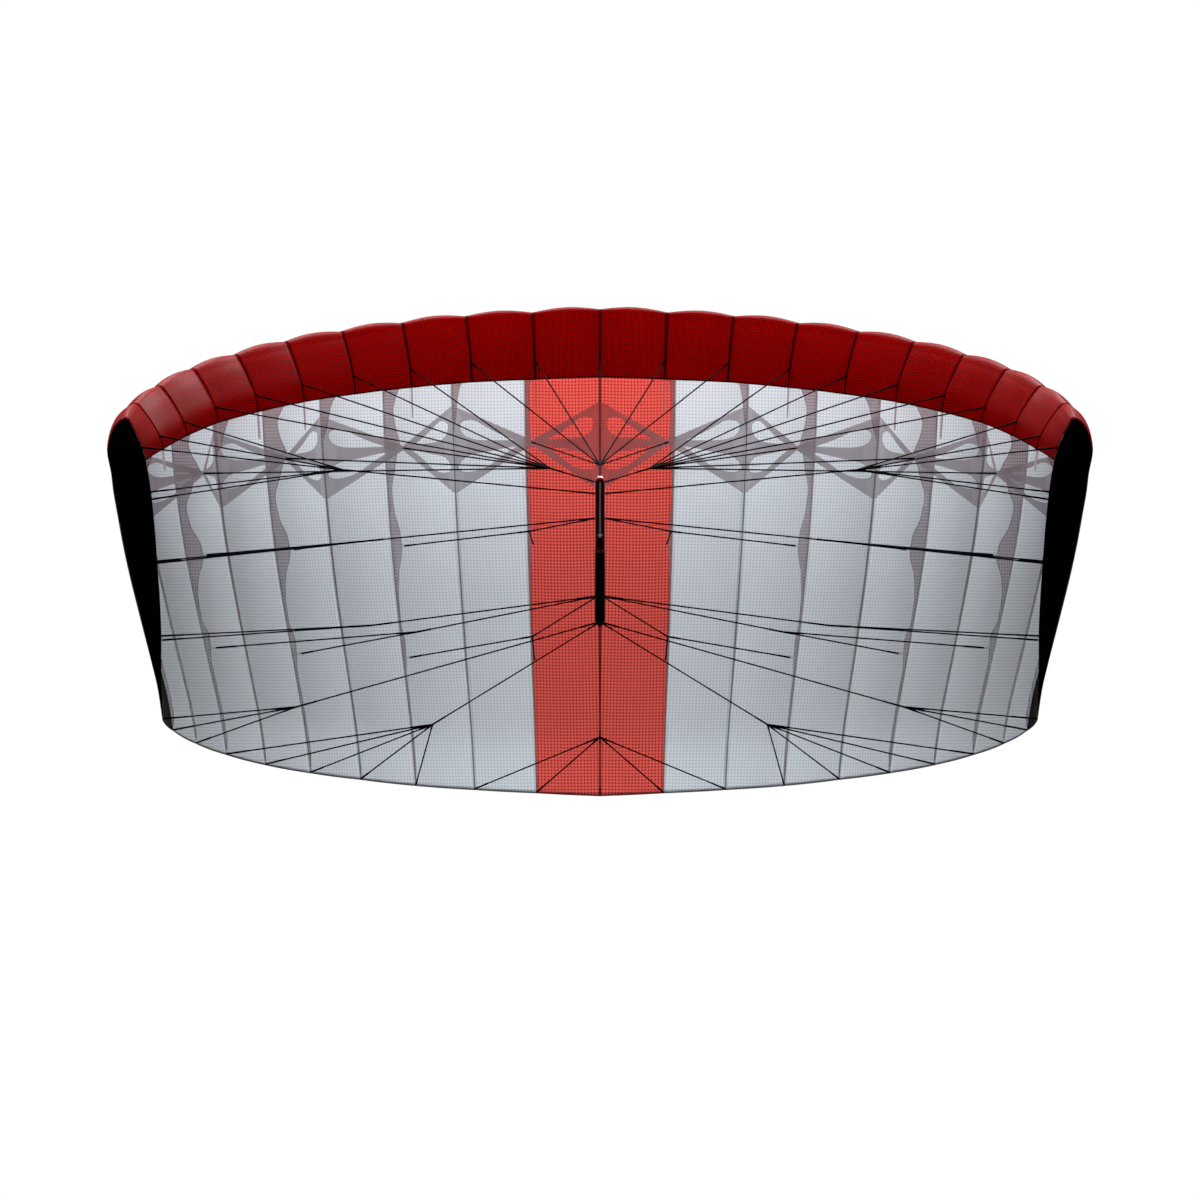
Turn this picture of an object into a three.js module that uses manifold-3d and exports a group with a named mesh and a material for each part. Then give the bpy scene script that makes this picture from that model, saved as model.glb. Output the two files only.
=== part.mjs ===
// A hand-held parawing: a single-skin canopy of twenty cells in flight, its bridle lines and its bar.
// Millimetres, +Z up. The origin is the middle of the bar's grip, where the rider's hand holds it.
// The leading edge points up, and +Y runs from the bar to the canopy.
import * as THREE from 'three';
import { mergeVertices } from 'three/addons/utils/BufferGeometryUtils.js';
import Module from 'manifold-3d';

const wasm = await Module();
wasm.setup();

// Canopy: ribs stand in planes that all pass through one upright axis, cellAngle apart
const cellAngle = THREE.MathUtils.degToRad(7.4);
const arcCentreY = 260;
const clothThickness = 1.6;
const ribThickness = 1.4;
const gap = 0.3;
const tipRib = 10;
const cellSteps = 3;

// Half of a box of unit size, how far rounding may move its vertices, and how near two vertices are one
const unitSide = 0.5;
const unitRounding = 1e-3;
const sameVertex = 1e-4;

// Depth of the billow of a cell between its ribs: at the hem, at the nose, over the body and at the
// trailing edge
const hemBillow = 3;
const tipBillowShare = 0.6;
const noseBillow = 9;
const bodyBillow = 11;
const trailBillow = 2.5;

// Ribs from the centre to the tip. Radius of the trailing edge from the upright axis, height of the
// trailing edge, chord, and rises above the trailing edge's radius: of the nose, of the seam that the
// front lines are sewn to, and of the ends of the lines behind it (0 where a rib has none). Hollow is
// how far the upper side lies below the common profile halfway back
const ribColumns = ['trailRadius', 'trailZ', 'chord', 'nose', 'front', 'point', 'second', 'third', 'hollow'];
const ribRows = [
  [1207, -511, 1195, 81, 37, 0, 0, 0, 0],
  [1207, -504, 1180, 85, 39, 84, 69, 40, 0],
  [1205, -496, 1163, 91, 35, 0, 0, 0, 0],
  [1197, -486, 1136, 97, 36, 79, 68, 34, 0],
  [1188, -471, 1100, 102, 38, 0, 0, 0, 0],
  [1180, -455, 1059, 107, 37, 99, 65, 36, 0],
  [1173, -435, 1007, 109, 37, 0, 0, 0, 3],
  [1166, -410, 947, 110, 38, 71, 61, 32, 2],
  [1153, -383, 878, 109, 39, 0, 0, 0, 3],
  [1141, -351, 803, 103, 38, 67, 43, 29, 6],
  [1117, -324, 742, 93, 52, 27, 13, 3, 13],
];
const ribs = ribRows.map((row) => Object.fromEntries(ribColumns.map((name, i) => [name, row[i]])));

// The hem under the nose lies this much lower than the seam that the front lines are sewn to
const hemDrop = 11;

// Places along the chord, as shares of it from the leading edge
const frontAt = 0.098;
const pointAt = 0.27;
const secondAt = 0.481;
const thirdAt = 0.722;
const hemAt = 0.14;

// Upper side behind the panel seam: share of the chord, height as a share of the chord
const upperProfile = [
  { at: 0.19, height: 0.1835 },
  { at: 0.25, height: 0.178 },
  { at: 0.33, height: 0.1655 },
  { at: 0.42, height: 0.15 },
  { at: 0.52, height: 0.128 },
  { at: 0.62, height: 0.1015 },
  { at: 0.72, height: 0.073 },
  { at: 0.81, height: 0.0465 },
  { at: 0.9, height: 0.021 },
  { at: 1, height: 0 },
];
const crownHeight = 0.189;
const seamHeight = 0.1875;

// Round the nose: share of the chord, and share of the way from the front seam to the nose (under)
// or from the nose to the crown (over)
const underNose = [
  { at: 0.055, share: 0.34 },
  { at: 0.02, share: 0.68 },
  { at: 0, share: 1 },
];
const overNose = [
  { at: 0.02, share: 0.52 },
  { at: 0.055, share: 0.84 },
  { at: 0.1, share: 1 },
];
const seamAt = 0.13;
const noseStation = 1 + underNose.length;
const seamStation = 2 + underNose.length + overNose.length;
const lastStation = seamStation + upperProfile.length;

// Lower edge of a loaded rib, from the trailing edge forward: share of the chord and depth of the cloth
// as a share of the chord. A loop hangs down to the named line row, and a tip reaches down to it
const loadedEdge = [
  { at: 0.985, depth: 0.004 },
  { at: 0.95, depth: 0.01 },
  { at: 0.9, depth: 0.01 },
  { at: 0.81, depth: 0.01 },
  { at: 0.76, depth: 0.01 },
  { at: thirdAt, depth: 0.018, loop: 'third' },
  { at: 0.69, depth: 0.022 },
  { at: 0.65, depth: 0.01 },
  { at: 0.6, depth: 0.012 },
  { at: 0.54, depth: 0.028 },
  { at: 0.5, depth: 0.052 },
  { at: secondAt, depth: 0.057, loop: 'second' },
  { at: 0.451, depth: 0.054 },
  { at: 0.411, depth: 0.033 },
  { at: 0.363, depth: 0.025 },
  { at: 0.31, depth: 0.052 },
  { at: 0.282, depth: 0.068 },
  { at: pointAt, tip: 'point' },
  { at: 0.26, depth: 0.085 },
  { at: 0.246, depth: 0.079 },
  { at: 0.222, depth: 0.064 },
  { at: 0.19, depth: 0.055 },
  { at: 0.16, depth: 0.072 },
  { at: 0.145, depth: 0.088 },
];

// Lower edge of a rib without lines behind the nose: a seam tape, then the nose part
const plainEdge = [
  { at: 0.985, depth: 0.003 },
  ...[0.95, 0.9, 0.81, 0.72, 0.62, 0.52, 0.42, 0.33, 0.25].map((at) => ({ at, depth: 0.006 })),
  { at: 0.215, depth: 0.027 },
  { at: 0.19, depth: 0.038 },
  { at: 0.162, depth: 0.053 },
  { at: 0.145, depth: 0.072 },
];

// Lower edge of the closed rib at each tip, by its height as a share of the chord
const tipEdge = [
  { at: 0.985, height: -0.001 },
  { at: 0.85, height: 0.004 },
  { at: thirdAt, tip: 'third' },
  { at: 0.6, height: 0.009 },
  { at: secondAt, tip: 'second' },
  { at: 0.38, height: 0.025 },
  { at: pointAt, tip: 'point' },
  { at: 0.2, height: 0.046 },
  { at: 0.16, height: 0.054 },
];

// Loops that hold the second and third line rows, and the batten tails behind the hem
const loopWidth = 3;
const pointRise = 4.5;
const battenWidth = 7;
const battenDrop = 10;
const battenAt = 0.205;
const battenRibs = [1, 3, 5, 6, 7, 9];

// Diagonal panels: where they meet the upper seam, and their two cut-outs. Along runs from the point of
// the rib to the seam, across from the front edge to the rear edge
const diagonalFront = 0.19;
const diagonalRear = 0.373;
const cutOuts = [
  [
    { along: 0.24, across: 0.32 },
    { along: 0.66, across: 0.1 },
    { along: 0.82, across: 0.11 },
    { along: 0.92, across: 0.2 },
    { along: 0.86, across: 0.33 },
    { along: 0.62, across: 0.38 },
  ],
  [
    { along: 0.2, across: 0.62 },
    { along: 0.6, across: 0.6 },
    { along: 0.84, across: 0.61 },
    { along: 0.96, across: 0.71 },
    { along: 0.88, across: 0.8 },
    { along: 0.68, across: 0.865 },
    { along: 0.5, across: 0.85 },
  ],
];

// Diagonal panels stay this far beside the rib they are sewn to, and this far under the cloth
const diagonalThickness = 1.4;
const diagonalAside = 4;
const diagonalUnder = 0.8;
const diagonalStart = 0.006;

// Lines: diameter, sides of their section, and radius of the knots where they fork, of those at the bar
// and at the points of the ribs, and distance of the rear row's ends from the trailing edge
const lineRadius = 1.5;
const lineSides = 4;
const forkRadius = 4;
const knotRadius = 3.5;
const rearInset = 3;

// Bar: a slotted tube with a domed front end, a grip behind it and a ring between them. Behind the
// grip's rounded shoulder a short stub leads the rear lines out
const barRadius = 12.5;
const barWall = 3;
const barSides = 20;
const domeLength = 17;
const shoulderRadius = 9.9;
const shoulderLength = 6;
const stubRadius = 6;
const stubLength = 8.5;
const stubRounding = 1.5;
const barFront = 275;
const barJoint = 93;
const barRear = -93;
const ringRadius = 13.6;
const ringLength = 4;
const slotWidth = 10;
const slotFront = 262;
const slotRear = 119;
const slotDepth = 7.5;
const trimRadius = 2;
const trimSides = 8;
const trimKnotRadius = 4.5;
const trimKnotZ = 128;
const trimY = -4.5;

// Line rows: height of their knot on the bar, how far it lies beside the bar's middle, and for each fork
// its place in the air and the ribs that its strands run to, by the row of line ends
const sideLines = [
  {
    name: 'front_lines_inner', colour: 'line', barZ: 258,
    forks: [{ at: [123, 220, 294], ends: { front: [3, 4, 5, 6, 7], point: [3, 5, 7] } }],
  },
  {
    name: 'front_lines_outer', colour: 'line', barZ: 231,
    forks: [{ at: [631, 445, 290], ends: { front: [8, 9, 10], point: [9, 10] } }],
  },
  {
    name: 'second_lines', colour: 'navy', barZ: 172,
    forks: [
      { at: [174, 769, 139], ends: { second: [1, 3] } },
      { at: [577, 526, 115], ends: { second: [5, 7, 9, 10] } },
    ],
  },
  {
    name: 'third_lines', colour: 'navy', barZ: -20,
    forks: [
      { at: [166, 811, -119], ends: { third: [1, 3] } },
      { at: [450, 636, -108], ends: { third: [5, 7] } },
      { at: [562, 356, -92], ends: { third: [9, 10] } },
    ],
  },
];
const barAside = 5;
const middleLines = [
  {
    name: 'front_lines_centre', colour: 'line', barZ: 268,
    forks: [{ at: [0, 215, 302], ends: { front: [-2, -1, 0, 1, 2], point: [-1, 1] } }],
  },
  {
    name: 'rear_lines', colour: 'line', barZ: -83,
    forks: [
      { at: [-746, 519, -292], ends: { trail: [-10, -9, -8] } },
      { at: [-411, 737, -335], ends: { trail: [-7, -6, -5, -4, -3] } },
      { at: [0, 975, -366], ends: { trail: [-2, -1, 0, 1, 2] } },
      { at: [411, 737, -335], ends: { trail: [3, 4, 5, 6, 7] } },
      { at: [746, 519, -292], ends: { trail: [8, 9, 10] } },
    ],
  },
];

const colours = {
  red: 0x8e0a0c,
  salmon: 0xd8453f,
  white: 0xdfe4ea,
  black: 0x0b0b0d,
  grey: 0x9a969c,
  line: 0x1a1214,
  navy: 0x161b2c,
  grip: 0x141517,
  tube: 0x7c0d12,
  trim: 0x8c8f93,
};

function material(colour, roughness = 0.6, metalness = 0) {
  return new THREE.MeshStandardMaterial({ color: colours[colour], roughness, metalness });
}

const parawing = new THREE.Group();
parawing.name = 'parawing';

function add(name, geometry, look) {
  const mesh = new THREE.Mesh(geometry, look);
  mesh.name = name;
  parawing.add(mesh);
  return mesh;
}

// The rib's sizes at a place between two ribs, counted from the centre
function sizesAt(place) {
  const low = Math.min(Math.floor(place), tipRib - 1);
  const share = place - low;
  return Object.fromEntries(
    ribColumns.map((name) => [name, THREE.MathUtils.lerp(ribs[low][name], ribs[low + 1][name], share)]),
  );
}

// The cloth's section at a place: points from the hem round the nose to the trailing edge, each a
// distance behind the leading edge and a height above the trailing edge's radius
function sectionAt(place) {
  const { chord, nose, front, hollow } = sizesAt(place);
  const crown = crownHeight * chord;
  const under = underNose.map(({ at, share }) => [at, front + (nose - front) * share]);
  const over = overNose.map(({ at, share }) => [at, nose + (crown - nose) * share]);
  const upper = upperProfile.map(({ at, height }) => [at, height * chord - hollow * Math.sin(Math.PI * at)]);
  const rows = [
    [hemAt, front - hemDrop], [frontAt, front],
    ...under, ...over, [seamAt, seamHeight * chord], ...upper,
  ];
  return rows.map(([at, height]) => new THREE.Vector2(at * chord, height));
}

// The middle of the cloth at a place along the span and a station along the section, in the section's
// own plane, with the way out of the canopy and the way back along the cloth
function clothAt(place, station) {
  const curve = new THREE.SplineCurve(sectionAt(place));
  const t = station / lastStation;
  const back = curve.getTangent(t);
  return { point: curve.getPoint(t), back, out: new THREE.Vector2(-back.y, back.x) };
}

// From a rib's own plane to the part's frame: behind is the distance from the leading edge, rise the
// height above the trailing edge's radius, aside a distance across the rib's plane
function inSpace(place, behind, rise, aside = 0) {
  const { trailRadius, trailZ, chord } = sizesAt(Math.abs(place));
  const angle = place * cellAngle;
  const radius = trailRadius + rise;
  return new THREE.Vector3(
    radius * Math.sin(angle) + aside * Math.cos(angle),
    arcCentreY + radius * Math.cos(angle) - aside * Math.sin(angle),
    trailZ + chord - behind,
  );
}

// The billow of a cell, none at its ribs
function billow(place, station) {
  const share = place - Math.floor(place);
  const towardsNose = Math.min(station / noseStation, 1);
  const towardsTrail = (station - seamStation) / (lastStation - seamStation);
  const depth = station < seamStation
    ? THREE.MathUtils.lerp(hemBillow, noseBillow, towardsNose)
    : THREE.MathUtils.lerp(bodyBillow, trailBillow, towardsTrail ** 3);
  const towardsTip = THREE.MathUtils.lerp(1, tipBillowShare, (place / tipRib) ** 4);
  return depth * towardsTip * Math.sin(Math.PI * share);
}

// Moves every vertex of a geometry by a map and leaves one closed body
function bend(geometry, map) {
  const position = geometry.getAttribute('position');
  const vertex = new THREE.Vector3();
  for (let i = 0; i < position.count; i += 1) {
    const moved = map(vertex.fromBufferAttribute(position, i));
    position.setXYZ(i, moved.x, moved.y, moved.z);
  }
  return merge(geometry);
}

function merge(geometry) {
  geometry.deleteAttribute('normal');
  geometry.deleteAttribute('uv');
  const merged = mergeVertices(geometry, sameVertex);
  merged.computeVertexNormals();
  return merged;
}

function toSolid(geometry) {
  const merged = merge(geometry);
  return new wasm.Manifold(new wasm.Mesh({
    numProp: 3,
    vertProperties: Float32Array.from(merged.getAttribute('position').array),
    triVerts: Uint32Array.from(merged.index.array),
  }));
}

function toGeometry(solid) {
  const mesh = solid.getMesh();
  const geometry = new THREE.BufferGeometry();
  geometry.setAttribute('position', new THREE.BufferAttribute(mesh.vertProperties, 3));
  geometry.setIndex(new THREE.BufferAttribute(mesh.triVerts, 1));
  geometry.computeVertexNormals();
  return geometry;
}

function fuse(geometries) {
  return toGeometry(geometries.map(toSolid).reduce((whole, piece) => whole.add(piece)));
}

// Which side of a box of unit size a vertex lies on: -1 or 1, and 0 for a vertex between the sides
function sideOfBox(coordinate) {
  return Math.abs(coordinate) > unitSide - unitRounding ? Math.sign(coordinate) : 0;
}

// A cloth panel between two places along the span and two stations along the section. Each edge stays
// half a gap short, so that panels sewn together don't touch
function clothPanel(from, to, firstStation, endStation) {
  const columns = (to - from) * cellSteps;
  const rows = endStation - firstStation;
  const edge = gap / 2 / (cellAngle * ribs[tipRib].trailRadius);
  const box = new THREE.BoxGeometry(1, 1, 1, columns, rows, 1);
  return bend(box, ({ x, y, z }) => {
    const place = from + (x + 0.5) * (to - from) - sideOfBox(x) * edge;
    const station = Math.round(firstStation + (y + 0.5) * rows);
    const { point, back, out } = clothAt(Math.abs(place), station);
    point.addScaledVector(out, billow(Math.abs(place), station) + z * clothThickness);
    point.addScaledVector(back, -sideOfBox(y) * gap / 2);
    return inSpace(place, point.x, point.y);
  });
}

// Nose panels, two cells each with a loaded rib in their middle
const noseEdges = [-10, -8, -6, -4, -2, 0, 2, 4, 6, 8];
noseEdges.forEach((from, i) => {
  add(`nose_panel_${i + 1}`, clothPanel(from, from + 2, 0, seamStation), material('red', 0.45));
});

// Upper skin
const upperPanels = [
  { name: 'upper_tip_left', from: -10, to: -9, colour: 'black' },
  { name: 'upper_left', from: -9, to: -1, colour: 'white' },
  { name: 'upper_centre', from: -1, to: 1, colour: 'salmon' },
  { name: 'upper_right', from: 1, to: 9, colour: 'white' },
  { name: 'upper_tip_right', from: 9, to: 10, colour: 'black' },
];
upperPanels.forEach(({ name, from, to, colour }) => {
  add(name, clothPanel(from, to, seamStation, lastStation), material(colour, 0.5));
});

// Height of the cloth's inner face over a place on the chord, for the pieces sewn to it from inside
const inset = clothThickness / 2 + gap;

function innerEdge(place, firstStation) {
  const stations = Array.from({ length: lastStation - firstStation }, (_, i) => firstStation + i);
  return stations.map((station) => {
    const { point, out } = clothAt(place, station);
    return point.addScaledVector(out, -inset);
  });
}

function innerRise(place, behind) {
  const edge = innerEdge(place, seamStation - 1);
  const end = clothAt(place, lastStation);
  edge.push(end.point.addScaledVector(end.out, -inset));
  const next = edge.findIndex(({ x }) => x > behind);
  const [a, b] = [edge[next - 1], edge[next]];
  return THREE.MathUtils.mapLinear(behind, a.x, b.x, a.y, b.y);
}

// A rib's lower edge from the trailing edge to the hem, in the rib's own plane
function lowerEdge(place, rows) {
  const sizes = ribs[place];
  return rows.flatMap(({ at, depth, height, tip, loop }) => {
    const behind = at * sizes.chord;
    if (tip) return [new THREE.Vector2(behind, sizes[tip] + (place === tipRib ? 0 : pointRise))];
    const rise = height === undefined
      ? innerRise(place, behind) - depth * sizes.chord
      : height * sizes.chord;
    if (!loop) return [new THREE.Vector2(behind, rise)];
    const [rear, front] = [behind + loopWidth / 2, behind - loopWidth / 2];
    return [
      new THREE.Vector2(rear, rise), new THREE.Vector2(rear, sizes[loop]),
      new THREE.Vector2(front, sizes[loop]), new THREE.Vector2(front, rise),
    ];
  });
}

// The end of the nose part at the hem, with a batten tail behind it on some ribs
function hemEnd(place) {
  const { chord } = ribs[place];
  const hem = clothAt(place, 0);
  const corner = hem.point.addScaledVector(hem.out, -inset);
  if (!battenRibs.includes(place)) return [corner.add(new THREE.Vector2(-gap, 0))];
  const end = battenAt * chord;
  return [
    new THREE.Vector2(corner.x + battenWidth, corner.y + battenWidth),
    new THREE.Vector2(end, corner.y + battenWidth - battenDrop),
    new THREE.Vector2(end, corner.y - battenDrop),
    corner.add(new THREE.Vector2(-gap, 0)),
  ];
}

// A rib: a flat piece in a plane through the upright axis
function rib(place, rows) {
  const side = Math.abs(place);
  const inner = innerEdge(side, 1);
  const last = rows[0].at * ribs[side].chord;
  const outline = [
    ...inner, new THREE.Vector2(last, innerRise(side, last)),
    ...lowerEdge(side, rows), ...hemEnd(side),
  ];
  const depth = ribThickness;
  const plate = new THREE.ExtrudeGeometry(new THREE.Shape(outline), { depth, bevelEnabled: false });
  return bend(plate, ({ x, y, z }) => inSpace(place, x, y, z - depth / 2));
}

for (let place = -tipRib; place <= tipRib; place += 1) {
  const side = Math.abs(place);
  const hand = ['_left', '', '_right'][Math.sign(place) + 1];
  if (side === tipRib) add(`tip_rib${hand}`, rib(place, tipEdge), material('black', 0.5));
  else if (side % 2) add(`loaded_rib_${side}${hand}`, rib(place, loadedEdge), material('grey', 0.6));
  else add(`plain_rib_${side}${hand}`, rib(place, plainEdge), material('grey', 0.6));
}

// A panel from the point of a loaded rib to the upper seam of the rib beside it. Its outline and its
// cut-outs are drawn along and across the panel, then carried onto the straight ways between the two
function diagonalPanel(place, seamPlace) {
  const { chord, point } = ribs[Math.abs(place)];
  const seamSide = Math.abs(seamPlace);
  const apex = inSpace(place, pointAt * chord, point);
  const seam = (across) => {
    const behind = THREE.MathUtils.lerp(diagonalFront, diagonalRear, across) * ribs[seamSide].chord;
    const rise = innerRise(seamSide, behind) - diagonalUnder;
    return inSpace(seamPlace, behind, rise, Math.sign(place - seamPlace) * diagonalAside);
  };
  const seamPoints = [0, 0.25, 0.5, 0.75, 1].map((across) => new THREE.Vector2(1, across));
  const shape = new THREE.Shape([
    new THREE.Vector2(diagonalStart, 0), ...seamPoints, new THREE.Vector2(diagonalStart, 1),
  ]);
  shape.holes = cutOuts.map((rows) => new THREE.Path(
    rows.map(({ along, across }) => new THREE.Vector2(along, across)),
  ));
  const plate = new THREE.ExtrudeGeometry(shape, { depth: diagonalThickness, bevelEnabled: false });
  const spread = seam(1).sub(seam(0));
  return bend(plate, ({ x, y, z }) => {
    const reach = seam(y).sub(apex);
    const normal = reach.clone().cross(spread).normalize();
    return apex.clone().addScaledVector(reach, x).addScaledVector(normal, z - diagonalThickness / 2);
  });
}

function knot(at, radius) {
  return new THREE.IcosahedronGeometry(radius, 0).translate(at.x, at.y, at.z);
}

for (let place = 1 - tipRib; place < tipRib; place += 2) {
  const { chord, point } = ribs[Math.abs(place)];
  const sides = [place - 1, place + 1].filter((other) => Math.abs(other) < tipRib);
  const apex = inSpace(place, pointAt * chord, point);
  const panels = sides.map((other) => diagonalPanel(place, other));
  const hand = place < 0 ? 'left' : 'right';
  add(`diagonals_${Math.abs(place)}_${hand}`, fuse([knot(apex, knotRadius), ...panels]), material('grey'));
}

// Where a line ends on the canopy, with the way into the piece that holds it, and how far short of it
// the line stops when that piece is a knot
function lineEnd(row, place) {
  const side = Math.abs(place);
  const { chord } = ribs[side];
  if (row === 'front' || row === 'trail') {
    const { point, back, out } = clothAt(side, row === 'front' ? 1 : lastStation);
    const into = row === 'front' ? out.negate() : out;
    point.addScaledVector(into, -clothThickness / 2).addScaledVector(back, row === 'front' ? 0 : -rearInset);
    const at = inSpace(place, point.x, point.y);
    return { at, into: inSpace(place, point.x + into.x, point.y + into.y).sub(at), stop: 0 };
  }
  const share = { point: pointAt, second: secondAt, third: thirdAt }[row];
  const at = inSpace(place, share * chord, ribs[side][row]);
  const into = inSpace(place, share * chord, ribs[side][row] + 1).sub(at);
  return { at, into, stop: row === 'point' && side < tipRib ? knotRadius + gap : 0 };
}

// A straight length of line between two points
function strand(from, to) {
  const way = to.clone().sub(from);
  const turn = new THREE.Quaternion().setFromUnitVectors(new THREE.Vector3(0, 1, 0), way.clone().normalize());
  const geometry = new THREE.CylinderGeometry(lineRadius, lineRadius, way.length(), lineSides);
  const middle = from.clone().add(to).multiplyScalar(0.5);
  return geometry.applyQuaternion(turn).translate(middle.x, middle.y, middle.z);
}

// The strand from a fork to the canopy, its flat end just clear of the piece that holds it
function endStrand(fork, row, place) {
  const { at, into, stop } = lineEnd(row, place);
  const way = at.clone().sub(fork).normalize();
  const straight = way.dot(into);
  const slant = Math.sqrt(1 - straight ** 2);
  const short = stop || (gap + lineRadius * slant) / straight;
  return strand(fork, at.addScaledVector(way, -short));
}

// A row of lines: from one knot on the back of the bar to its forks, and from each fork to the canopy
function lineRow({ barZ, forks }, side) {
  const reach = barRadius + knotRadius + gap;
  const aside = side * barAside;
  const start = new THREE.Vector3(aside, Math.sqrt(reach ** 2 - aside ** 2), barZ);
  const pieces = forks.flatMap(({ at, ends }) => {
    const fork = new THREE.Vector3(at[0] * (side || 1), at[1], at[2]);
    const strands = Object.entries(ends).flatMap(
      ([row, places]) => places.map((place) => endStrand(fork, row, place * (side || 1))),
    );
    return [strand(start, fork), knot(fork, forkRadius), ...strands];
  });
  return fuse([knot(start, knotRadius), ...pieces]);
}

middleLines.forEach((row) => add(row.name, lineRow(row, 0), material(row.colour, 0.7)));
sideLines.forEach((row) => {
  add(`${row.name}_left`, lineRow(row, -1), material(row.colour, 0.7));
  add(`${row.name}_right`, lineRow(row, 1), material(row.colour, 0.7));
});

// A round piece about the bar's axis, from the radii and heights of its profile
function turned(profile) {
  const points = profile.map(([radius, z]) => new THREE.Vector2(radius, z));
  return merge(new THREE.LatheGeometry(points, barSides).rotateX(Math.PI / 2));
}

// A quarter of an ellipse in a round piece's profile, from its side at height z to its end
function quarterRound(radius, endRadius, z, length) {
  return [0, 22, 45, 68, 90].map((degrees) => {
    const angle = THREE.MathUtils.degToRad(degrees);
    const reach = degrees === 90 ? 0 : Math.cos(angle);
    return [endRadius + (radius - endRadius) * reach, z + length * Math.sin(angle)];
  });
}

// Front tube, hollow and open behind, with a slot on the side that faces away from the canopy
const boreRadius = barRadius - barWall;
const domeStart = barFront - domeLength;
const tube = turned([
  [0, domeStart], [boreRadius, domeStart], [boreRadius, barJoint],
  [barRadius, barJoint], ...quarterRound(barRadius, 0, domeStart, domeLength),
]);
const slot = new THREE.BoxGeometry(slotWidth, slotDepth * 2, slotFront - slotRear);
slot.translate(0, -barRadius, (slotFront + slotRear) / 2);
add('bar_tube', toGeometry(toSolid(tube).subtract(toSolid(slot))), material('tube', 0.3, 0.7));

const ringRear = barJoint - gap - ringLength;
add('bar_ring', turned([
  [0, ringRear], [ringRadius, ringRear], [ringRadius, barJoint - gap], [0, barJoint - gap],
]), material('grip', 0.5));

const shoulderEnd = barRear + stubLength;
add('bar_grip', turned([
  ...quarterRound(stubRadius, stubRadius - stubRounding, barRear + stubRounding, -stubRounding)
    .concat([[0, barRear]]).reverse(),
  [stubRadius, shoulderEnd],
  ...quarterRound(barRadius, shoulderRadius, shoulderEnd + shoulderLength, -shoulderLength).reverse(),
  [barRadius, ringRear - gap], [0, ringRear - gap],
]), material('grip', 0.85));

// Trim line in the slot, from the tube's dome to its knot
const trimFront = domeStart - gap;
const trim = new THREE.CylinderGeometry(trimRadius, trimRadius, trimFront - trimKnotZ, trimSides);
trim.rotateX(Math.PI / 2).translate(0, trimY, (trimFront + trimKnotZ) / 2);
const trimKnot = new THREE.IcosahedronGeometry(trimKnotRadius, 1).translate(0, trimY, trimKnotZ);
add('trim_line', fuse([trim, trimKnot]), material('trim', 0.6));

export default parawing;
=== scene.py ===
# %% [markdown]
# # A parawing in flight
#
# A parawing is a small single-skin wing that a rider holds by a short bar. The cloth is one layer,
# stiffened by ribs, and thin lines carry it from the bar.
# This lesson dresses the plain solids of the part with sewn cloth, round lines and a real bar.
# Every surface is a formula: a point is worked out from two numbers, and numpy does a whole sheet at
# once. The alternative, pushing vertices by hand, would never line up with the ribs.

# %% Load the frame
from functools import partial
import bmesh
import bpy
import numpy as np
from mathutils.geometry import delaunay_2d_cdt
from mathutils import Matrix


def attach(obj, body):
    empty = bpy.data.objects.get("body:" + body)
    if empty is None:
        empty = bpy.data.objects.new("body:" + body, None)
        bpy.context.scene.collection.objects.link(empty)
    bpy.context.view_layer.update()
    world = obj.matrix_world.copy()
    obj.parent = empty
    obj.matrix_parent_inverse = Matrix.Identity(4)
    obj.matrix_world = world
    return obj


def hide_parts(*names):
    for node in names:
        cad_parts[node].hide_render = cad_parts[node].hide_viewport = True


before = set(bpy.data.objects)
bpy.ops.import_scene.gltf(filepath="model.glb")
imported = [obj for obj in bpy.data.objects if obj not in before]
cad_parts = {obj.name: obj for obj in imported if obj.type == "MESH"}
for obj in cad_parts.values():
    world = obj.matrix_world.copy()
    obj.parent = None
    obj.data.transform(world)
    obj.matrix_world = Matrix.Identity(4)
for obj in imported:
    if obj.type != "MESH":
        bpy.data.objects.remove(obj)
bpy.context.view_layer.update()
MM, TURN = 0.001, 2 * np.pi
print("solid nodes:", len(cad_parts))

# %% [markdown]
# ## Camera
#
# The wing is seen straight from the front, from the rider's side, and far away. From so far the bar
# and the cloth behind it are drawn to one scale, so the camera has no perspective at all. A long lens
# would do nearly the same, but an orthographic camera gives one number: metres for each pixel.

# %% Camera
PIXEL, PHOTO_PIXELS = 2.454 * MM, 1200
CAMERA_AWAY, CAMERA_BELOW, CLIP_END = 10, 12 * PIXEL, 100


def put(name, data):
    """A new object in the scene, at the origin."""
    thing = bpy.data.objects.new(name, data)
    bpy.context.scene.collection.objects.link(thing)
    return thing


camera_data = bpy.data.cameras.new("camera")
camera_data.type = "ORTHO"
camera_data.ortho_scale, camera_data.clip_end = PHOTO_PIXELS * PIXEL, CLIP_END
camera = put("camera", camera_data)
camera.location = (0, -CAMERA_AWAY, -CAMERA_BELOW)
camera.rotation_euler = (np.pi / 2, 0, 0)
bpy.context.scene.camera = camera
print("view width, m:", camera_data.ortho_scale)

# %% [markdown]
# ## The numbers of the wing
#
# The ribs stand like the pages of an open book: all their planes pass through one upright axis, a
# fixed angle apart. Rib 0 is in the middle and rib 10 at each tip. A table gives each rib its sizes,
# and a place between two ribs takes sizes between theirs. The same numbers made the solids, so the
# cloth lands where they are.

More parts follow.
